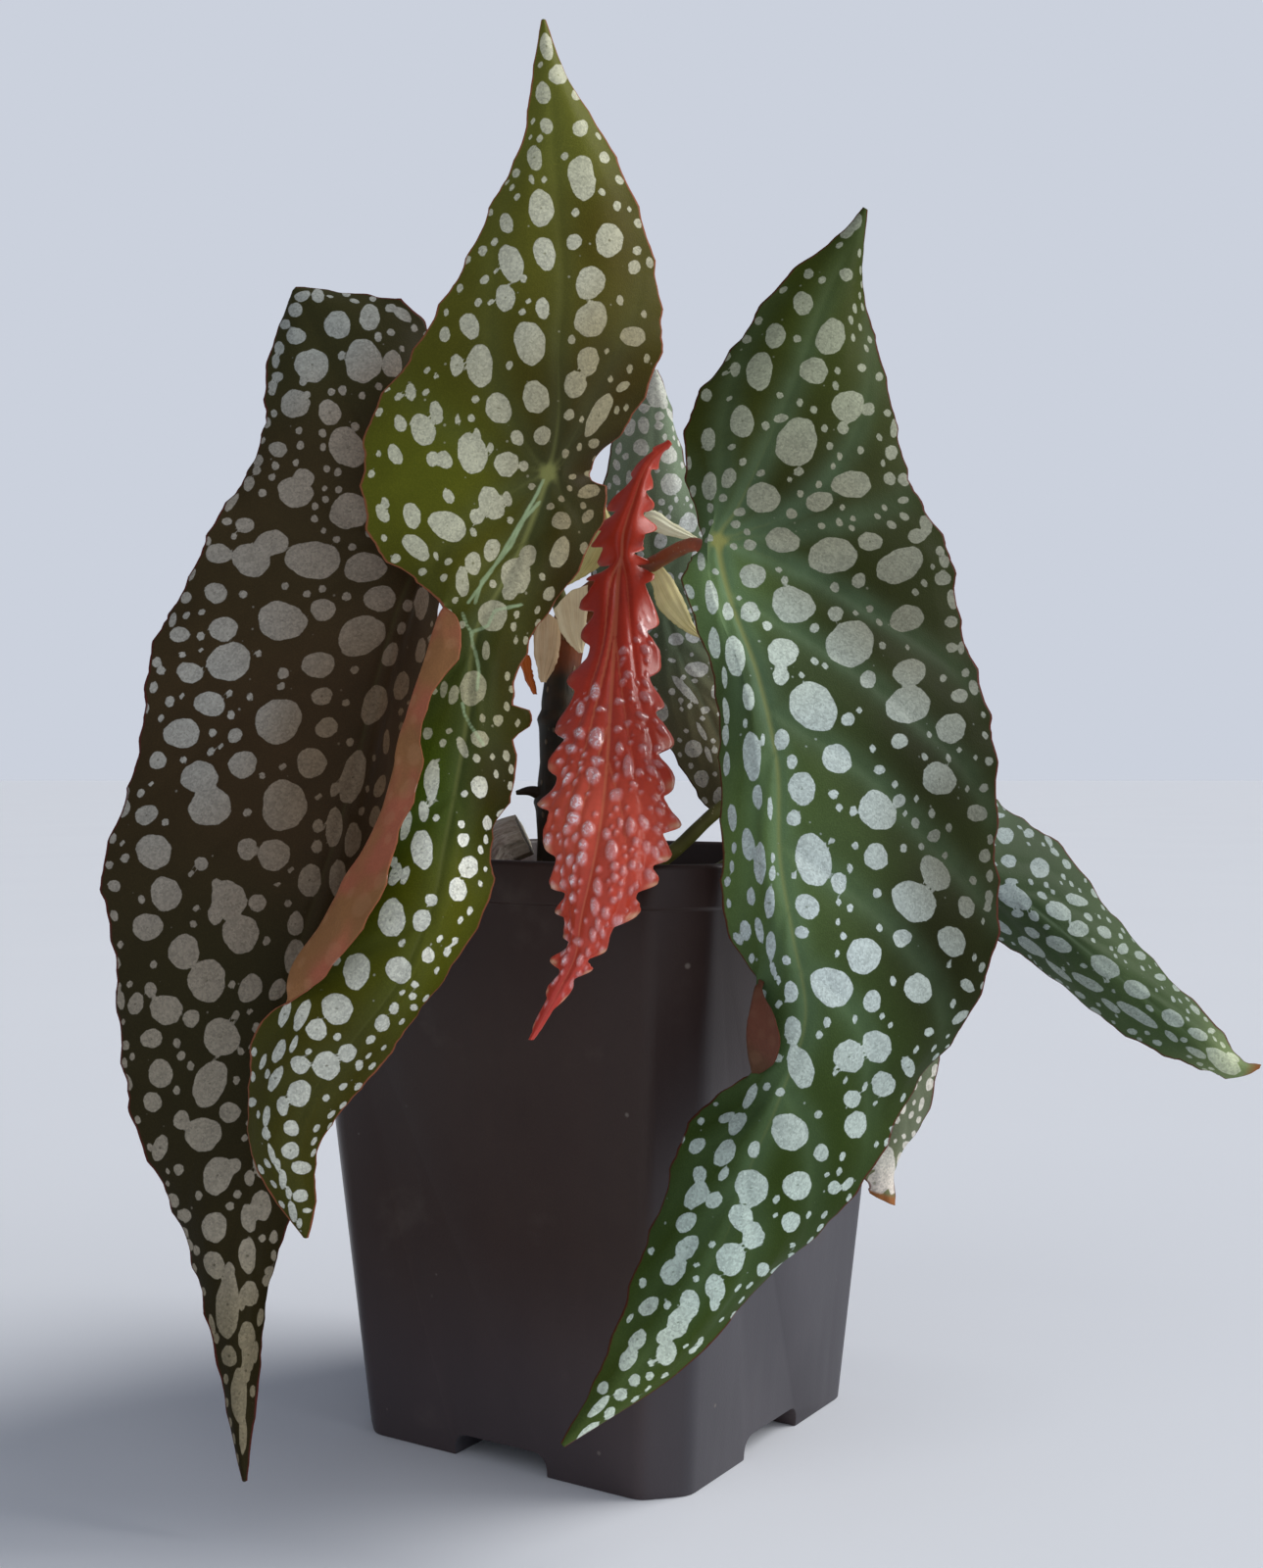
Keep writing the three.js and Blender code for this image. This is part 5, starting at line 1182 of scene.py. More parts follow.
# For each sheath its lines, as for a leaf, its slot, its colour and that of its streaks.
STIPULES = {
    "stipule_ivory": ([
        [[-12.4, -8.6, 185.2], [-8.6, -10.6, 189], [-4.6, -11.2, 190.4]],
        [[-10.4, -9.4, 179.4], [-7.8, -10.8, 180], [-5, -10.6, 180.4]],
        [[-6.7, -10.6, 175], [-6.2, -11.2, 175], [-5.7, -10.6, 175]],
    ], "paper_ivory", (218, 204, 168), (188, 168, 130)),
    "stipule_tan": ([
        [[-16.8, -2.6, 181.4], [-14, -5, 184.4], [-10.9, -5.6, 182.4]],
        [[-17, -3.6, 175], [-14.4, -6.2, 175], [-11.6, -6.4, 174]],
        [[-15.6, -5, 168.6], [-15, -6, 168.6], [-14.4, -5, 168.6]],
    ], "paper_tan", (196, 172, 138), (150, 118, 84)),
    "stipule_rust": ([
        [[-20.8, -0.4, 175], [-19.6, -1.8, 175.4], [-18.4, -2.2, 175]],
        [[-20, -1, 171], [-18.8, -2.4, 171], [-17.6, -2.6, 171]],
        [[-17.6, -1.2, 166], [-17.1, -1.8, 166], [-16.6, -1.2, 166]],
    ], "paper_rust", (176, 92, 40), (120, 56, 26)),
    "stipule_pale": ([
        [[5.6, -7, 203.2], [6, -8, 204.4], [6.8, -8, 205.4]],
        [[9.2, -9, 203], [9.6, -10, 205.4], [10, -9, 207.6]],
        [[14, -9, 201.6], [14.6, -10, 203], [15.4, -9, 204.4]],
        [[19.4, -8, 200.8], [19.9, -8.4, 201.1], [20.3, -8, 201.5]],
    ], "paper_pale", (222, 222, 196), (186, 180, 136)),
    "stipule_hanging": ([
        [[8.2, -16.2, 195.4], [9.2, -16.6, 196], [10, -16.6, 195.8]],
        [[9.8, -16.2, 189.6], [11.6, -17.2, 191.2], [14.2, -17.4, 191.4]],
        [[11.4, -18.6, 184.2], [14, -19.4, 186], [17.2, -18.6, 185.4]],
        [[16.2, -17.4, 180], [17.6, -17.6, 181], [19.4, -17, 180.6]],
        [[20.8, -16.4, 177.8], [21.1, -16.8, 178], [21.4, -16.4, 178.2]],
    ], "paper_yellow_green", (208, 198, 148), (172, 162, 100)),
    "stipule_green": ([
        [[-9.2, -7.6, 190.6], [-7, -9, 191.6], [-5.2, -9, 192.6]],
        [[-6.6, -8.6, 196], [-3.4, -10, 196], [-0.4, -9.4, 196.6]],
        [[-3.6, -8.4, 202], [-1, -9.8, 202], [1.6, -9.2, 202.4]],
        [[-1.4, -8, 208], [-1, -8.4, 208.2], [-0.6, -8, 208.4]],
    ], "paper_yellow_green", (190, 182, 124), (150, 144, 84)),
}

# The sheaths have a painted glow: they give off light of their own colour, standing in for light
# that comes through thin tissue.
PAPER_PAINTED_GLOW = 0.24  # thin tissue that lets the light through


def paper_finish(name, light, dark):
    """Thin dry tissue with fine lengthwise streaks and a painted glow of its own colour."""
    made = Finish("paper_" + name, Specular_IOR_Level=0.2, Emission_Strength=PAPER_PAINTED_GLOW)
    down, across, edge = made.attributes("down", "across", "edge")
    streak = made.noise_on(across * 0.9, down * 0.12, 18.0)
    cloud = made.noise(3.5, 3.0)
    colour = made.mix(made.step(streak + 0.5 * cloud, 0.6, 1.2), light, dark)
    colour = made.mix(made.step(edge, 0.6, 0.0) * 0.5, colour, dark)
    made.bump(streak, 0.08, 0.5)
    return made.close(Base_Color=colour, Roughness=0.55 + 0.15 * cloud, Emission_Color=colour)


for number, (name, (rows, slot, light, dark)) in enumerate(STIPULES.items()):
    blade = Blade(rows, 56, 30, 30 + number, ripple=0, tooth=0)
    crease = 0.18 * np.sin(9 * blade.across + 1.3 * blade.share) * part(blade.edge / 1.2)
    finish = paper_finish(name, shade(*light), shade(*dark))
    painted = {"down": blade.share, "across": blade.across, "edge": blade.edge}
    sheath = blade_piece(name + "_sheath", blade, (finish, finish), painted, STIPULE_THICK, crease)
    keep(sheath, slot, name)

# ---------- limbs ----------

CURVE_STEPS = 40  # between two knots


def smooth_path(knots, count):
    """Evenly spaced points along a centripetal curve through the knots, with the radius."""
    knots = np.array(knots, float)
    path = np.vstack([2 * knots[0] - knots[1], knots, 2 * knots[-1] - knots[-2]])
    gaps = np.sqrt(np.maximum(np.linalg.norm(np.diff(path[:, :3], axis=0), axis=1), 1e-6))
    out = []
    for k in range(1, len(path) - 2):
        a, b, c, d = path[k - 1:k + 3]
        g0, g1, g2 = gaps[k - 1:k + 2]
        start = ((b - a) / g0 - (c - a) / (g0 + g1) + (c - b) / g1) * g1
        stop = ((c - b) / g1 - (d - b) / (g1 + g2) + (d - c) / g2) * g1
        u = np.linspace(0, 1, CURVE_STEPS, endpoint=False)[:, None]
        out.append(b + u * start + u ** 2 * (3 * (c - b) - 2 * start - stop)
                   + u ** 3 * (2 * (b - c) + start + stop))
        out[-1][:, 3] = (b + u * (c - b))[:, 3]
    out.append(path[-2][None])
    out = np.vstack(out)
    length = np.append(0, np.cumsum(np.linalg.norm(np.diff(out[:, :3], axis=0), axis=1)))
    even = np.linspace(0, length[-1], count)
    return np.stack([np.interp(even, length, out[:, k]) for k in range(4)], 1), length[-1]


def limb(name, knots, sides, rings, shape=None):
    """A cylinder primitive cut into rings, which are then moved along a path."""
    path, length = smooth_path(knots, rings)
    way = unit(np.gradient(path[:, :3], axis=0))
    across = np.zeros_like(way)
    start = np.cross(way[0], [0.3, 1.0, 0.2])
    across[0] = unit(start[None])[0]
    for n in range(1, rings):
        across[n] = across[n - 1] - way[n] * (across[n - 1] @ way[n])
        across[n] = unit(across[n][None])[0]
    other = np.cross(way, across)
    piece = begin(name, bpy.ops.mesh.primitive_cylinder_add, vertices=sides, radius=1, depth=2)
    edit("DESELECT", "EDGE")
    shell = bmesh.from_edit_mesh(piece.data)
    for edge in shell.edges:
        edge.select_set(abs(edge.verts[0].co.z - edge.verts[1].co.z) > 1)
    bmesh.update_edit_mesh(piece.data)
    bpy.ops.mesh.subdivide(number_cuts=rings - 2)
    close_edit()
    flat = read(piece)
    ring = np.rint((flat[:, 2] + 1) / 2 * (rings - 1)).astype(int)
    angle = np.arctan2(flat[:, 1], flat[:, 0])
    share = ring / (rings - 1)
    reach = path[ring, 3]
    if shape:
        reach = reach * shape(share * length, angle)
    spoke = across[ring] * np.cos(angle)[:, None] + other[ring] * np.sin(angle)[:, None]
    write(piece, path[ring, :3] + spoke * reach[:, None])
    paint(piece, "down", share)
    paint(piece, "length", share * length)
    paint(piece, "turn", angle)
    smooth(piece, 60)
    return piece


SOIL_TOP = 117
SOIL_EDGE = 114
CANE_HOLE_DEPTH = 22
STUB_HOLE_DEPTH = 12
CANE_RADIUS = 4.2
CANE = [
    [-13, 1, SOIL_TOP - CANE_HOLE_DEPTH, CANE_RADIUS],
    [-13, 1, 118, CANE_RADIUS],
    [-12.6, 0.6, 132, 4],
    [-12.6, 0.4, 141, 4.6],
    [-12.2, 0.2, 150, 3.9],
    [-11.6, 0, 160, 4.6],
    [-11, 0, 170, 3.9],
    [-9.8, 0, 180, 4.4],
    [-9, 0, 187, 2.6],
]
SCARS = [
    [[-14, 0, 142, 2], [-18, -1, 143.6, 1.2], [-21.5, -1.6, 143.2, 0.5]],
    [[-10, 0, 160, 2], [-7, 1, 162, 1.2], [-5.4, 1.4, 164, 0.5]],
]
STUB = [
    [-27.6, 3, SOIL_TOP - STUB_HOLE_DEPTH, 4.6],
    [-27.5, 2.8, 118, 4.8],
    [-25.6, 2.2, 130.4, 5.2],
    [-19.8, 1.8, 133.4, 4.8],
]

RINGS = (141, 160, 180)  # heights of the swollen rings of the cane
YOUNG_FROM_TO = (74, 80)  # the length along the cane where its newest part begins


def cane_finish():
    """Near-black green bark with pale pores, orange-brown along its newest part."""
    made = Finish("cane_bark", Specular_IOR_Level=0.45)
    cloud = made.noise(4.0, 4.0)
    grain = made.noise(1.2, 3.0, made.stretched(1, 1, 0.2))
    colour = made.mix(made.step(cloud, 0.35, 0.7), shade(42, 40, 24), shade(66, 52, 32))
    colour = made.mix(made.step(made.attribute("length"), *YOUNG_FROM_TO) * 0.8, colour,
                      made.mix(cloud, shade(104, 52, 26), shade(176, 92, 44)))
    colour = made.lit(colour, 0.75 + 0.5 * grain)
    pore = made.step(made.cells(2.6, where=made.stretched(1, 1, 0.55)), 0.2, 0.1)
    colour = made.mix(pore * 0.7, colour, shade(140, 122, 92))
    made.bump(grain + pore, 0.25, 0.7)
    return made.close(Base_Color=colour, Roughness=0.5 + 0.2 * cloud)


def petiole_finish(name, first, last):
    """Finely grained and flecked, from one colour at the cane to another at the leaf."""
    made = Finish(name, Specular_IOR_Level=0.45)
    down = made.attribute("down")
    grain = made.noise(1.4, 3.0, made.stretched(0.5, 0.5, 0.5))
    colour = made.mix(made.step(down, 0.55, 1.0), shade(*first), shade(*last))
    colour = made.lit(colour, 0.75 + 0.5 * grain)
    fleck = made.step(made.cells(1.8), 0.16, 0.08)
    colour = made.mix(fleck * 0.6, colour, shade(186, 176, 130))
    made.bump(grain + fleck, 0.12, 0.6)
    return made.close(Base_Color=colour, Roughness=0.42 + 0.15 * grain)


def node_rings(length, angle):
    """The swollen, slightly uneven rings of the cane."""
    height = length + SOIL_TOP - CANE_HOLE_DEPTH
    swell = 1 + 0.02 * np.sin(3 * angle + 0.2 * height)
    for place in RINGS:
        swell = swell + 0.1 * bell(height - place, 1.3)
        swell = swell - 0.06 * bell(height - place - 2.6, 0.9)
    return swell


def petiole_round(length, angle):
    """Not quite round and not quite even."""
    return 1 + 0.03 * np.sin(2 * angle) + 0.02 * np.sin(0.9 * length)


cane = limb("cane_stem", CANE, 32, 150, node_rings)
cane.data.materials.append(cane_finish())
keep(cane, "cane", "cane")
for number, knots in enumerate(SCARS):
    scar = limb("cane_scar_%d" % (number + 1), knots, 16, 20)
    scar.data.materials.append(cane.data.materials[0])
    keep(scar, "cane")

PETIOLE_RADIUS, PETIOLE_TAPER = 1.5, 1.2
# How far behind the leaf's upper face a petiole ends and how long it is straight there, in mm.
PETIOLE_END, RIGHT_PETIOLE_END = (1.0, 7.0), (2.2, 3.5)
# For each petiole the leaf's lines, the line that it meets and its knots from the cane on.
PETIOLES = {
    "left": (LEFT_LEAF, 6, [[-10, 0, 178], [-19, 2, 183], [-31, -16, 191]]),
    "centre": (CENTRE_LEAF, 7, [[-9.6, -0.5, 183], [-13, -6, 192], [-14, -18, 200],
                                [-13.4, -34, 206]]),
    "right": (RIGHT_LEAF, 6, [[-9, 0, 182], [2, -5, 190.5], [10.5, -18, 194.6],
                              [18.4, -36, 196.4]]),
    "back": (BACK_LEAF, 4, [[-10, 1, 179], [-11, 14, 182], [-6, 27, 187], [3, 27, 191]]),
    "new_red": (RED_LEAF, 4, [[-9, -1, 183], [-6, -8, 188]]),
    "far_right": (FAR_LEAF, 3, [[-11, 2, 121], [2, 8, 120.5], [15, 9, 129], [26, 10, 139],
                                [42, 14, 149], [59, 20, 146]]),
    "low_right": (LOW_LEAF, 2, [[-11, -2, 121], [8, -12, 120], [26, -22, 127], [41, -27, 140],
                                [53, -31, 140]]),
}
PETIOLE_OLIVE = petiole_finish("petiole_olive", (98, 98, 46), (140, 136, 78))
PETIOLE_RED = petiole_finish("petiole_red", (150, 84, 46), (172, 80, 46))
SPAN = np.array([-0.04, 0, 0.04])  # of the patch that gives the way out of the leaf
for name, (rows, meets, way) in PETIOLES.items():
    patch = sheet(lines_of(rows), meets + SPAN, SPAN)
    out = unit(np.cross(patch[2, 1] - patch[0, 1], patch[1, 2] - patch[1, 0])[None])[0]
    sink, straight = RIGHT_PETIOLE_END if name == "right" else PETIOLE_END
    end = patch[1, 1] - out * sink
    knots = [*way, end - out * straight, end]
    radii = [PETIOLE_RADIUS - PETIOLE_TAPER * (k / len(knots) - 0.5) for k in range(len(knots))]
    stalk = limb("petiole_" + name, [[*k, r] for k, r in zip(knots, radii)], 20, 20 * len(knots),
                 petiole_round)
    stalk.data.materials.append(PETIOLE_RED if name in ("right", "new_red") else PETIOLE_OLIVE)
    keep(stalk, "cane")


def stub_finish():
    """Weathered dead wood: grey, ridged lengthwise, cream where it broke."""
    made = Finish("stub_wood", Specular_IOR_Level=0.2)
    turn, length, down = made.attributes("turn", "length", "down")
    grain = made.noise_on(turn, length * 0.06, 9.0)
    colour = made.mix(made.step(grain, 0.35, 0.65), shade(204, 192, 174), shade(246, 238, 224))
    colour = made.mix(made.step(down, 0.8, 1.0) * 0.6, colour, shade(206, 196, 172))
    made.bump(grain, 0.5, 0.8)
    return made.close(Base_Color=colour, Roughness=0.8 + 0.1 * grain)


def stub_ridges(length, angle):
    return 1 + 0.07 * np.sin(7 * angle + 0.05 * length) + 0.03 * np.sin(17 * angle)


stub = limb("old_stub_wood", STUB, 84, 60, stub_ridges)
stub.data.materials.append(stub_finish())
keep(stub, "dry_stub", "old_stub")

# ---------- the pot ----------

POT_HEIGHT = 130
RIM_HALF, BASE_HALF = 55, 42.5
RIM_CORNER, BASE_CORNER = 9.8, 7.6
CORNER_INSET = 0.6  # how much of an inset the cut corner loses
COLLAR_HEIGHT, COLLAR_STEP = 8.6, 0.9
LIP = 0.7
WALL = 1.6
FLOOR_UNDER, FLOOR_TOP = 4.8, 7
CHANNEL_WIDTH, CHANNEL_ROUND, CHANNEL_LOW = 24, 3, -2.0
DRAIN_RADIUS, DRAIN_SPACING = 4, 26
DRAINS = ((0, 0), (1, 0), (0, 1), (-1, 0), (0, -1))
POT_TURN = math.radians(-32.33)
EDGE_ROUND = 2.2
ROUND_STEPS = 4
EDGE_BEVEL = 0.35


def turned(x, y, more=0.0):
    """Places along the pot's own sides, turned as the pot stands."""
    c, s = math.cos(POT_TURN + more), math.sin(POT_TURN + more)
    return c * x - s * y, s * x + c * y


def square_ring(z, half, corner):
    """One level of the square, its corners cut flat and those cuts slightly rounded."""
    inner = half - corner
    flat = [(half, -inner), (half, inner), (inner, half), (-inner, half),
            (-half, inner), (-half, -inner), (-inner, -half), (inner, -half)]
    ring = []
    for n, corner_at in enumerate(flat):
        here = np.array(corner_at, float)
        before = np.array(flat[n - 1], float) - here
        after = np.array(flat[(n + 1) % len(flat)], float) - here
        cut = min(EDGE_ROUND, 0.3 * np.linalg.norm(before), 0.3 * np.linalg.norm(after))
        first = here + cut * before / np.linalg.norm(before)
        last = here + cut * after / np.linalg.norm(after)
        for u in np.linspace(0, 1, ROUND_STEPS):
            ring.append((1 - u) ** 2 * first + 2 * u * (1 - u) * here + u ** 2 * last)
    x, y = turned(*np.array(ring).T)
    return np.column_stack([x, y, np.full(len(ring), float(z))])


def half_and_corner(z, inset):
    """Half the pot's side and its cut corner, at a height."""
    share = z / POT_HEIGHT
    return (BASE_HALF + (RIM_HALF - BASE_HALF) * share - inset,
            BASE_CORNER + (RIM_CORNER - BASE_CORNER) * share - CORNER_INSET * inset)


def pot_side(z, inset=0.0):
    return square_ring(z, *half_and_corner(z, inset))


def by_angle(places):
    return np.argsort(np.arctan2(places[:, 1], places[:, 0]))


def raise_levels(name, levels):
    """A cylinder primitive on the first two levels, whose end is extruded to each other one."""
    piece = begin(name, bpy.ops.mesh.primitive_cylinder_add, vertices=len(levels[0]), radius=1,
                  depth=2)
    edit("DESELECT", "FACE")
    shell = bmesh.from_edit_mesh(piece.data)
    top = max(shell.faces, key=lambda face: face.calc_center_median().z)
    bottom = min(shell.faces, key=lambda face: face.calc_center_median().z)

    def settle(face, level):
        corners = list(face.verts)
        middle = np.mean([v.co[:2] for v in corners], axis=0)
        here = by_angle(np.array([v.co for v in corners]) - [*middle, 0])
        for mine, theirs in zip(here, by_angle(level)):
            corners[mine].co = to_frame(level[theirs])

    settle(bottom, levels[0])
    settle(top, levels[1])
    top.select_set(True)
    bmesh.update_edit_mesh(piece.data)
    for level in levels[2:]:
        bpy.ops.mesh.extrude_region_move()
        shell = bmesh.from_edit_mesh(piece.data)
        settle(next(face for face in shell.faces if face.select), level)
        bmesh.update_edit_mesh(piece.data)
    bpy.ops.mesh.select_all(action="SELECT")
    bpy.ops.mesh.normals_make_consistent(inside=False)
    close_edit()
    return piece


def cut_away(piece, cutter):
    apply(piece, "BOOLEAN", operation="DIFFERENCE", solver="EXACT", object=cutter)
    bpy.data.objects.remove(cutter)


def channel_cutter(turn):
    """A long bar with rounded upper edges, lying under the pot."""
    bar = begin("channel_bar", bpy.ops.mesh.primitive_cube_add, size=2)
    half = CHANNEL_WIDTH / 2
    corners = read(bar)
    x, y = turned(corners[:, 0] * 2 * BASE_HALF, corners[:, 1] * half, turn)
    height = np.where(corners[:, 2] > 0, FLOOR_UNDER, CHANNEL_LOW)
    write(bar, np.column_stack([x, y, height]))
    # the two long upper edges
    edit("DESELECT", "EDGE")
    shell = bmesh.from_edit_mesh(bar.data)
    for edge in shell.edges:
        a, b = edge.verts
        level = min(a.co.z, b.co.z) > 0
        edge.select_set(level and edge.calc_length() > 3 * half * MM)
    bmesh.update_edit_mesh(bar.data)
    bpy.ops.mesh.bevel(offset=CHANNEL_ROUND * MM, segments=4)
    close_edit()
    return bar


DUST_CELL = 6.0


def pot_finish():
    """Satin recycled plastic: grain, faint upright streaks, dust and light scuffs, over painted
    shade and reflections that change with side and height.
    """
    made = Finish("pot_plastic", Specular_IOR_Level=0.38)
    cloud = made.noise(34.0, 3.0)
    grain = made.noise(0.5, 2.0)
    streak = made.noise(5.0, 3.0, made.stretched(1, 1, 0.06))
    # painted shade and reflection: sides turned from +X are painted dark brown, sides turned to +X
    # a lighter blue-grey, as the light comes from that side
    normal = made.node("TexCoord", output="Normal")
    facing = made.step(made.node("SeparateXYZ", {0: normal}), -0.3, 0.6)
    height = made.node("SeparateXYZ", {0: made.place}, "Z")
    # painted shadow: high up the brown stays, as in the leaves' shadow
    upper = made.step(height, 50 * MM, 110 * MM)
    # painted light: the brown turns paler and bluer towards the foot
    painted_light_foot = made.step(height, 55 * MM, 5 * MM)
    painted_shade_brown = made.mix(made.step(cloud, 0.3, 0.75), shade(50, 30, 22), shade(58, 40, 31))
    painted_shade_brown = made.mix(painted_light_foot * 0.8, painted_shade_brown, shade(72, 63, 66))
    grey = made.mix(made.step(cloud, 0.3, 0.75), shade(62, 59, 64), shade(72, 69, 74))
    colour = made.mix(facing * (1 - upper * 0.8), painted_shade_brown, grey)
    colour = made.lit(colour, 0.85 + 0.2 * streak + 0.1 * grain)
    dust = made.step(made.cells(DUST_CELL) + 0.5 * made.chance(DUST_CELL), 0.14, 0.05)
    smear = made.step(made.noise(16.0, 5.0), 0.6, 0.8)
    colour = made.mix(dust * 0.5, colour, shade(150, 140, 130))
    colour = made.mix(smear * 0.14, colour, shade(140, 130, 120))
    made.bump(grain + 0.5 * streak, 0.05, 0.6)
    return made.close(Base_Color=colour, Roughness=0.36 + 0.16 * streak + 0.16 * smear)


def make_pot():
    collar = POT_HEIGHT - COLLAR_HEIGHT
    inner = WALL + COLLAR_STEP
    pot = raise_levels("nursery_pot", [
        pot_side(0),
        pot_side(collar - COLLAR_STEP / 2, COLLAR_STEP),
        pot_side(collar),
        pot_side(POT_HEIGHT - LIP),
        pot_side(POT_HEIGHT, LIP),
        pot_side(POT_HEIGHT, inner - LIP),
        pot_side(POT_HEIGHT - LIP, inner),
        pot_side(collar, inner),
        pot_side(FLOOR_TOP, WALL + COLLAR_STEP * FLOOR_TOP / collar),
    ])
    for turn in (0, math.pi / 2):
        cut_away(pot, channel_cutter(turn))
    for x, y in DRAINS:
        at = [DRAIN_SPACING * place for place in turned(x, y)]
        drain = begin("drain_bar", bpy.ops.mesh.primitive_cylinder_add, vertices=32, radius=1,
                      depth=2)
        write(drain, read(drain) * [DRAIN_RADIUS, DRAIN_RADIUS, FLOOR_TOP] + [*at, FLOOR_TOP])
        cut_away(pot, drain)
    apply(pot, "BEVEL", width=EDGE_BEVEL * MM, segments=2, limit_method="ANGLE",
          angle_limit=math.radians(35))
    smooth(pot, 32)
    pot.data.materials.clear()
    pot.data.materials.append(pot_finish())
    keep(pot, "pot_plastic", "pot")


make_pot()

# ---------- the soil ----------

FIT_GAP = 0.3
SOIL_STEPS = 130
SOIL_LEVEL_TO = 0.45  # the soil is level up to this share of the way to the wall
LUMP_SIZE, LUMP_HEIGHT = 9, 1.3
SOIL_FOOT = BASE_HALF - 2 + 0.6  # half the side of the soil's foot


def soil_finish():
    """Dark crumbly peat with a few pale fibres."""
    made = Finish("soil_peat", Specular_IOR_Level=0.2)
    cloud = made.noise(6.0, 5.0)
    grain = made.noise(1.1, 4.0)
    colour = made.mix(made.step(cloud, 0.3, 0.7), shade(38, 27, 20), shade(74, 54, 38))
    colour = made.lit(colour, 0.6 + 0.8 * grain)
    fibre = made.step(made.noise(3.0, 2.0, made.stretched(2.2, 0.35, 1, (0, 0, 0.7))), 0.66, 0.74)
    colour = made.mix(fibre * 0.5, colour, shade(128, 96, 62))
    made.bump(grain + 0.6 * cloud, 0.8, 0.9)
    return made.close(Base_Color=colour, Roughness=0.88 + 0.1 * grain)


def soil_height(x, y, reach):
    """Lumpy, a little lower towards the wall."""
    low = part((reach - SOIL_LEVEL_TO) / (1 - SOIL_LEVEL_TO)) ** 1.3
    lumps = [noise.fractal(Vector((a / LUMP_SIZE, b / LUMP_SIZE, 3.1)), 1.0, 2.1, 5)
             for a, b in zip(x, y)]
    return SOIL_TOP - (SOIL_TOP - SOIL_EDGE) * low + LUMP_HEIGHT * np.array(lumps) - 0.5


def make_soil():
    """A lumpy top on a plain body that narrows downwards, a little clear of the pot."""
    half, corner = half_and_corner(SOIL_EDGE, WALL + COLLAR_STEP + FIT_GAP)
    even = np.linspace(-1, 1, SOIL_STEPS)
    u, v = np.meshgrid(even, even[::-1])
    excess = np.maximum(1, (abs(u) + abs(v)) / (2 - corner / half))
    x, y = turned(half * u / excess, half * v / excess)
    reach = np.maximum(abs(u), abs(v))
    z = soil_height(x.ravel(), y.ravel(), reach.ravel()).reshape(x.shape)
    piece = grid_from("soil_bed", np.dstack([x, y, z]))[0]
    edit("SELECT")
    depth = (SOIL_EDGE - FLOOR_TOP) * MM
    bpy.ops.mesh.extrude_region_move(TRANSFORM_OT_translate={"value": (0, 0, -depth)})
    close_edit()
    places = read(piece) / MM - AXIS
    low = places[:, 2] < (SOIL_EDGE + FLOOR_TOP) / 2
    places[low, :2] *= SOIL_FOOT / half
    places[low, 2] = FLOOR_TOP + FIT_GAP
    write(piece, places)
    edit("SELECT")
    bpy.ops.mesh.normals_make_consistent(inside=False)
    close_edit()
    smooth(piece, 50)
    piece.data.materials.append(soil_finish())
    return keep(piece, "soil", "soil")


soil = make_soil()

CRUMBS = 320
CRUMB_REACH = 44
SOIL_REACH = 50  # about how far the wall is from the pot's middle line
CLEARINGS = ((-13, 1, 8), (-27.5, 3, 9))  # x, y and radius, round the cane and the stub


def make_crumbs():
    """Crumbs and bits of bark that lie on the soil."""
    rng = np.random.default_rng(5)
    crumbs = []
    for n in range(CRUMBS):
        size = rng.uniform(0.6, 2.4) if n % 4 else rng.uniform(1.6, 3.2)
        turn, away = rng.uniform(0, 2 * math.pi), CRUMB_REACH * math.sqrt(rng.uniform(0, 1))
        x, y = away * math.cos(turn), away * math.sin(turn)
        if any(math.hypot(x - at_x, y - at_y) < radius for at_x, at_y, radius in CLEARINGS):
            continue
        crumb = begin("crumb", bpy.ops.mesh.primitive_ico_sphere_add, subdivisions=1, radius=1)
        shape = read(crumb) * (size * rng.uniform(0.45, 1.0, 3)) * rng.uniform(0.8, 1.2, (12, 1))
        height = soil_height([x], [y], np.array([away / SOIL_REACH]))[0]
        write(crumb, shape + [x, y, height + 0.2 * size])
        crumbs.append(crumb)
    alone(crumbs[0])
    for crumb in crumbs:
        crumb.select_set(True)
    bpy.ops.object.join()
    piece = fresh("soil_crumbs")
    piece.data.materials.append(soil.data.materials[0])
    keep(piece, "soil")


make_crumbs()

# ---------- floor, light and camera ----------


def stage_finish():
    made = Finish("floor_matt")
    cloud = made.noise(300.0, 2.0)
    colour = made.mix(cloud, shade(238, 241, 248), shade(242, 245, 251))
    return made.close(Base_Color=colour, Roughness=0.85 + 0.05 * cloud)


floor = begin("studio_floor", bpy.ops.mesh.primitive_plane_add, size=60)
floor.data.materials.append(stage_finish())

AMBIENT = 0.28


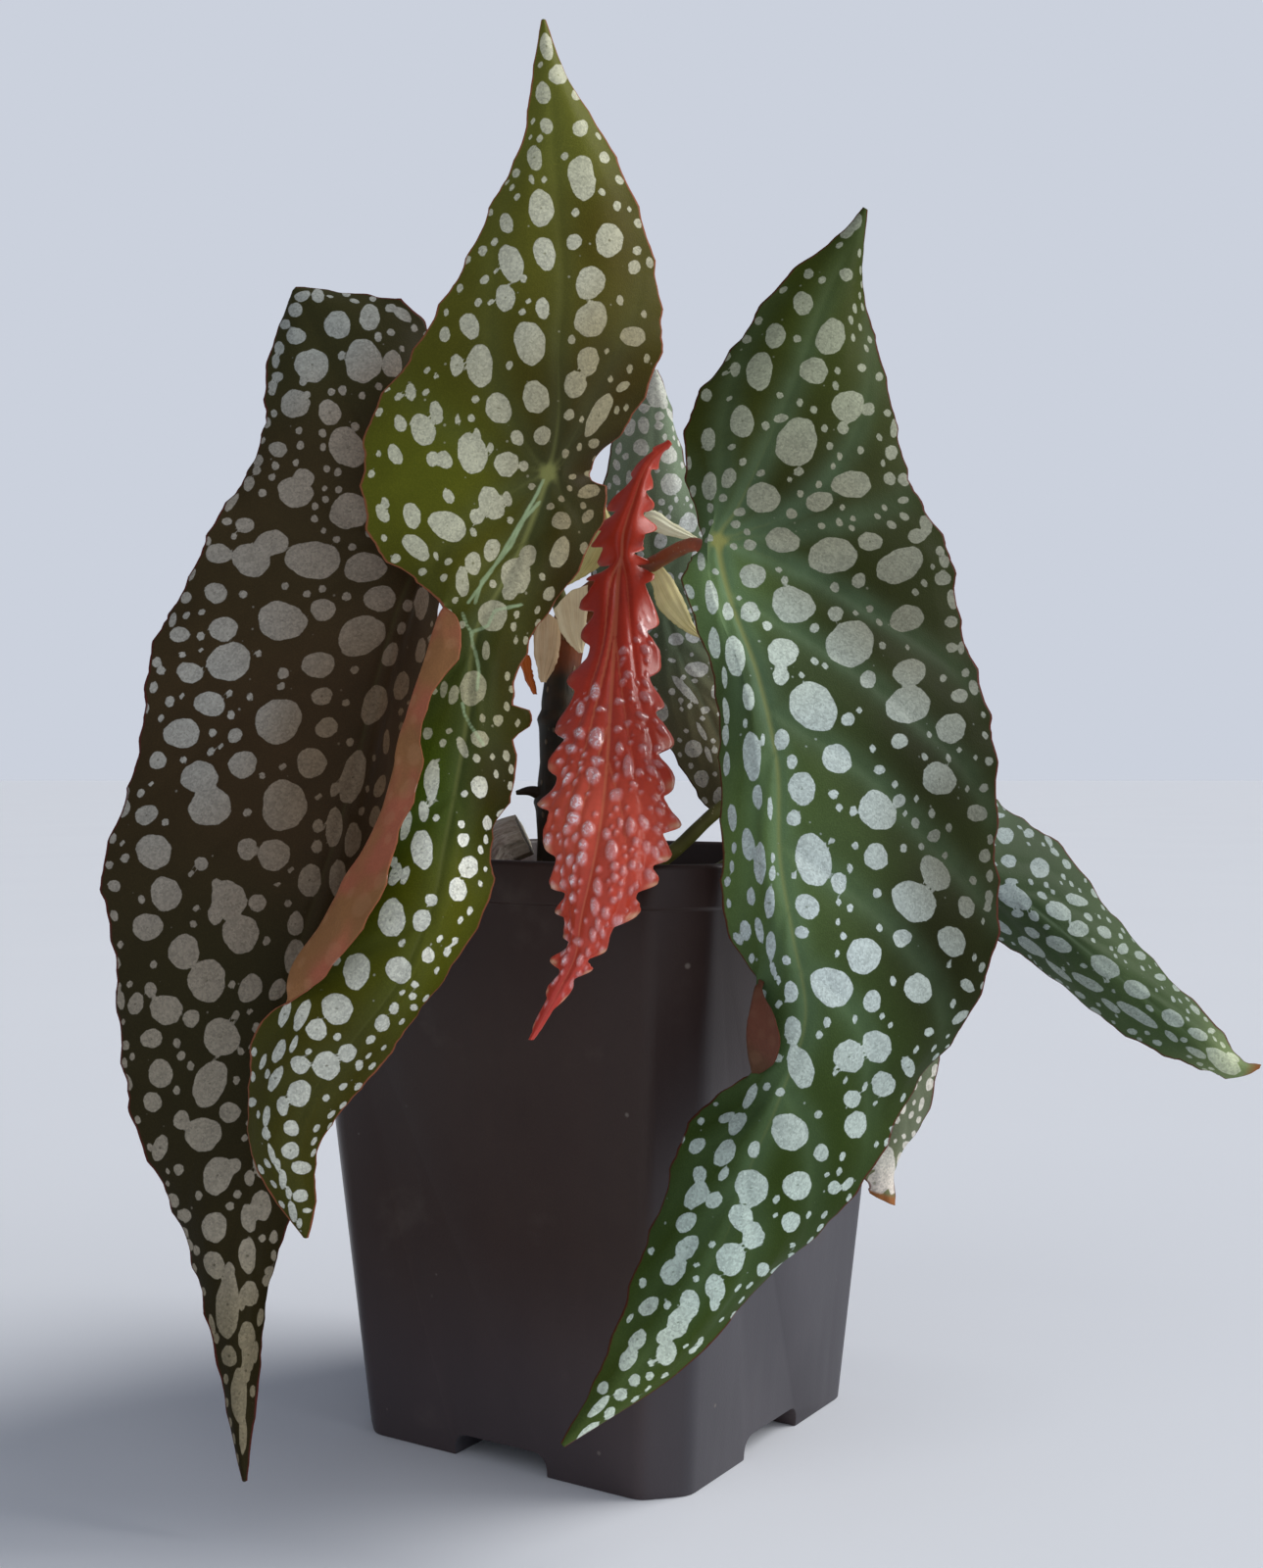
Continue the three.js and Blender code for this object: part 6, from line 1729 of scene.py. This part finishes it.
def set_world():
    """Pale to look at, and dimmer as a light, so that the lamps give the shapes their shading."""
    world = bpy.data.worlds.new("studio")
    bpy.context.scene.world = world
    world.use_nodes = True
    nodes, links = world.node_tree.nodes, world.node_tree.links
    seen, dim = nodes["Background"], nodes.new("ShaderNodeBackground")
    for light, colour, strength in ((seen, shade(203, 209, 221), 1.0),
                                    (dim, shade(196, 205, 222), AMBIENT)):
        light.inputs["Color"].default_value = colour
        light.inputs["Strength"].default_value = strength
    ray, choice = nodes.new("ShaderNodeLightPath"), nodes.new("ShaderNodeMixShader")
    for number, output in enumerate((ray.outputs["Is Camera Ray"], dim.outputs[0],
                                     seen.outputs[0])):
        links.new(output, choice.inputs[number])
    links.new(choice.outputs[0], nodes["World Output"].inputs["Surface"])


set_world()

AIM_AT = [0, -20, 150]


def lamp(name, kind, at, power, colour, **settings):
    """A lamp that faces the middle of the plant."""
    light = bpy.data.lights.new(name, kind)
    light.energy = power
    light.color = colour
    for setting, value in settings.items():
        setattr(light, setting, value)
    held = bpy.data.objects.new(name, light)
    bpy.context.collection.objects.link(held)
    held.location = to_frame(at)
    aim = Vector(to_frame(AIM_AT)) - held.location
    held.rotation_euler = aim.to_track_quat("-Z", "Y").to_euler()


lamp("window", "SUN", [900, 150, 900], 2.2, (1.0, 0.99, 0.97), angle=math.radians(40))
lamp("front_fill", "SUN", [-300, -900, 500], 0.55, (0.95, 0.97, 1.0), angle=math.radians(80))
lamp("right_fill", "SUN", [900, -500, 350], 1.05, (0.97, 0.98, 1.0), angle=math.radians(42))

bpy.context.scene.view_settings.view_transform = "Standard"

camera_data = bpy.data.cameras.new("camera")
camera_data.sensor_width = SENSOR_MM
camera_data.lens = SENSOR_MM * FOCAL_PX / PHOTO_HEIGHT
camera_data.clip_start = 0.01
camera_data.clip_end = 100
camera = bpy.data.objects.new("camera", camera_data)
bpy.context.collection.objects.link(camera)
camera.location = to_frame(CAMERA_AT)
tilt = math.atan((PHOTO_HEIGHT / 2 - HORIZON_PX) / FOCAL_PX)
camera.rotation_euler = (math.pi / 2 - tilt, 0, 0)
bpy.context.scene.camera = camera
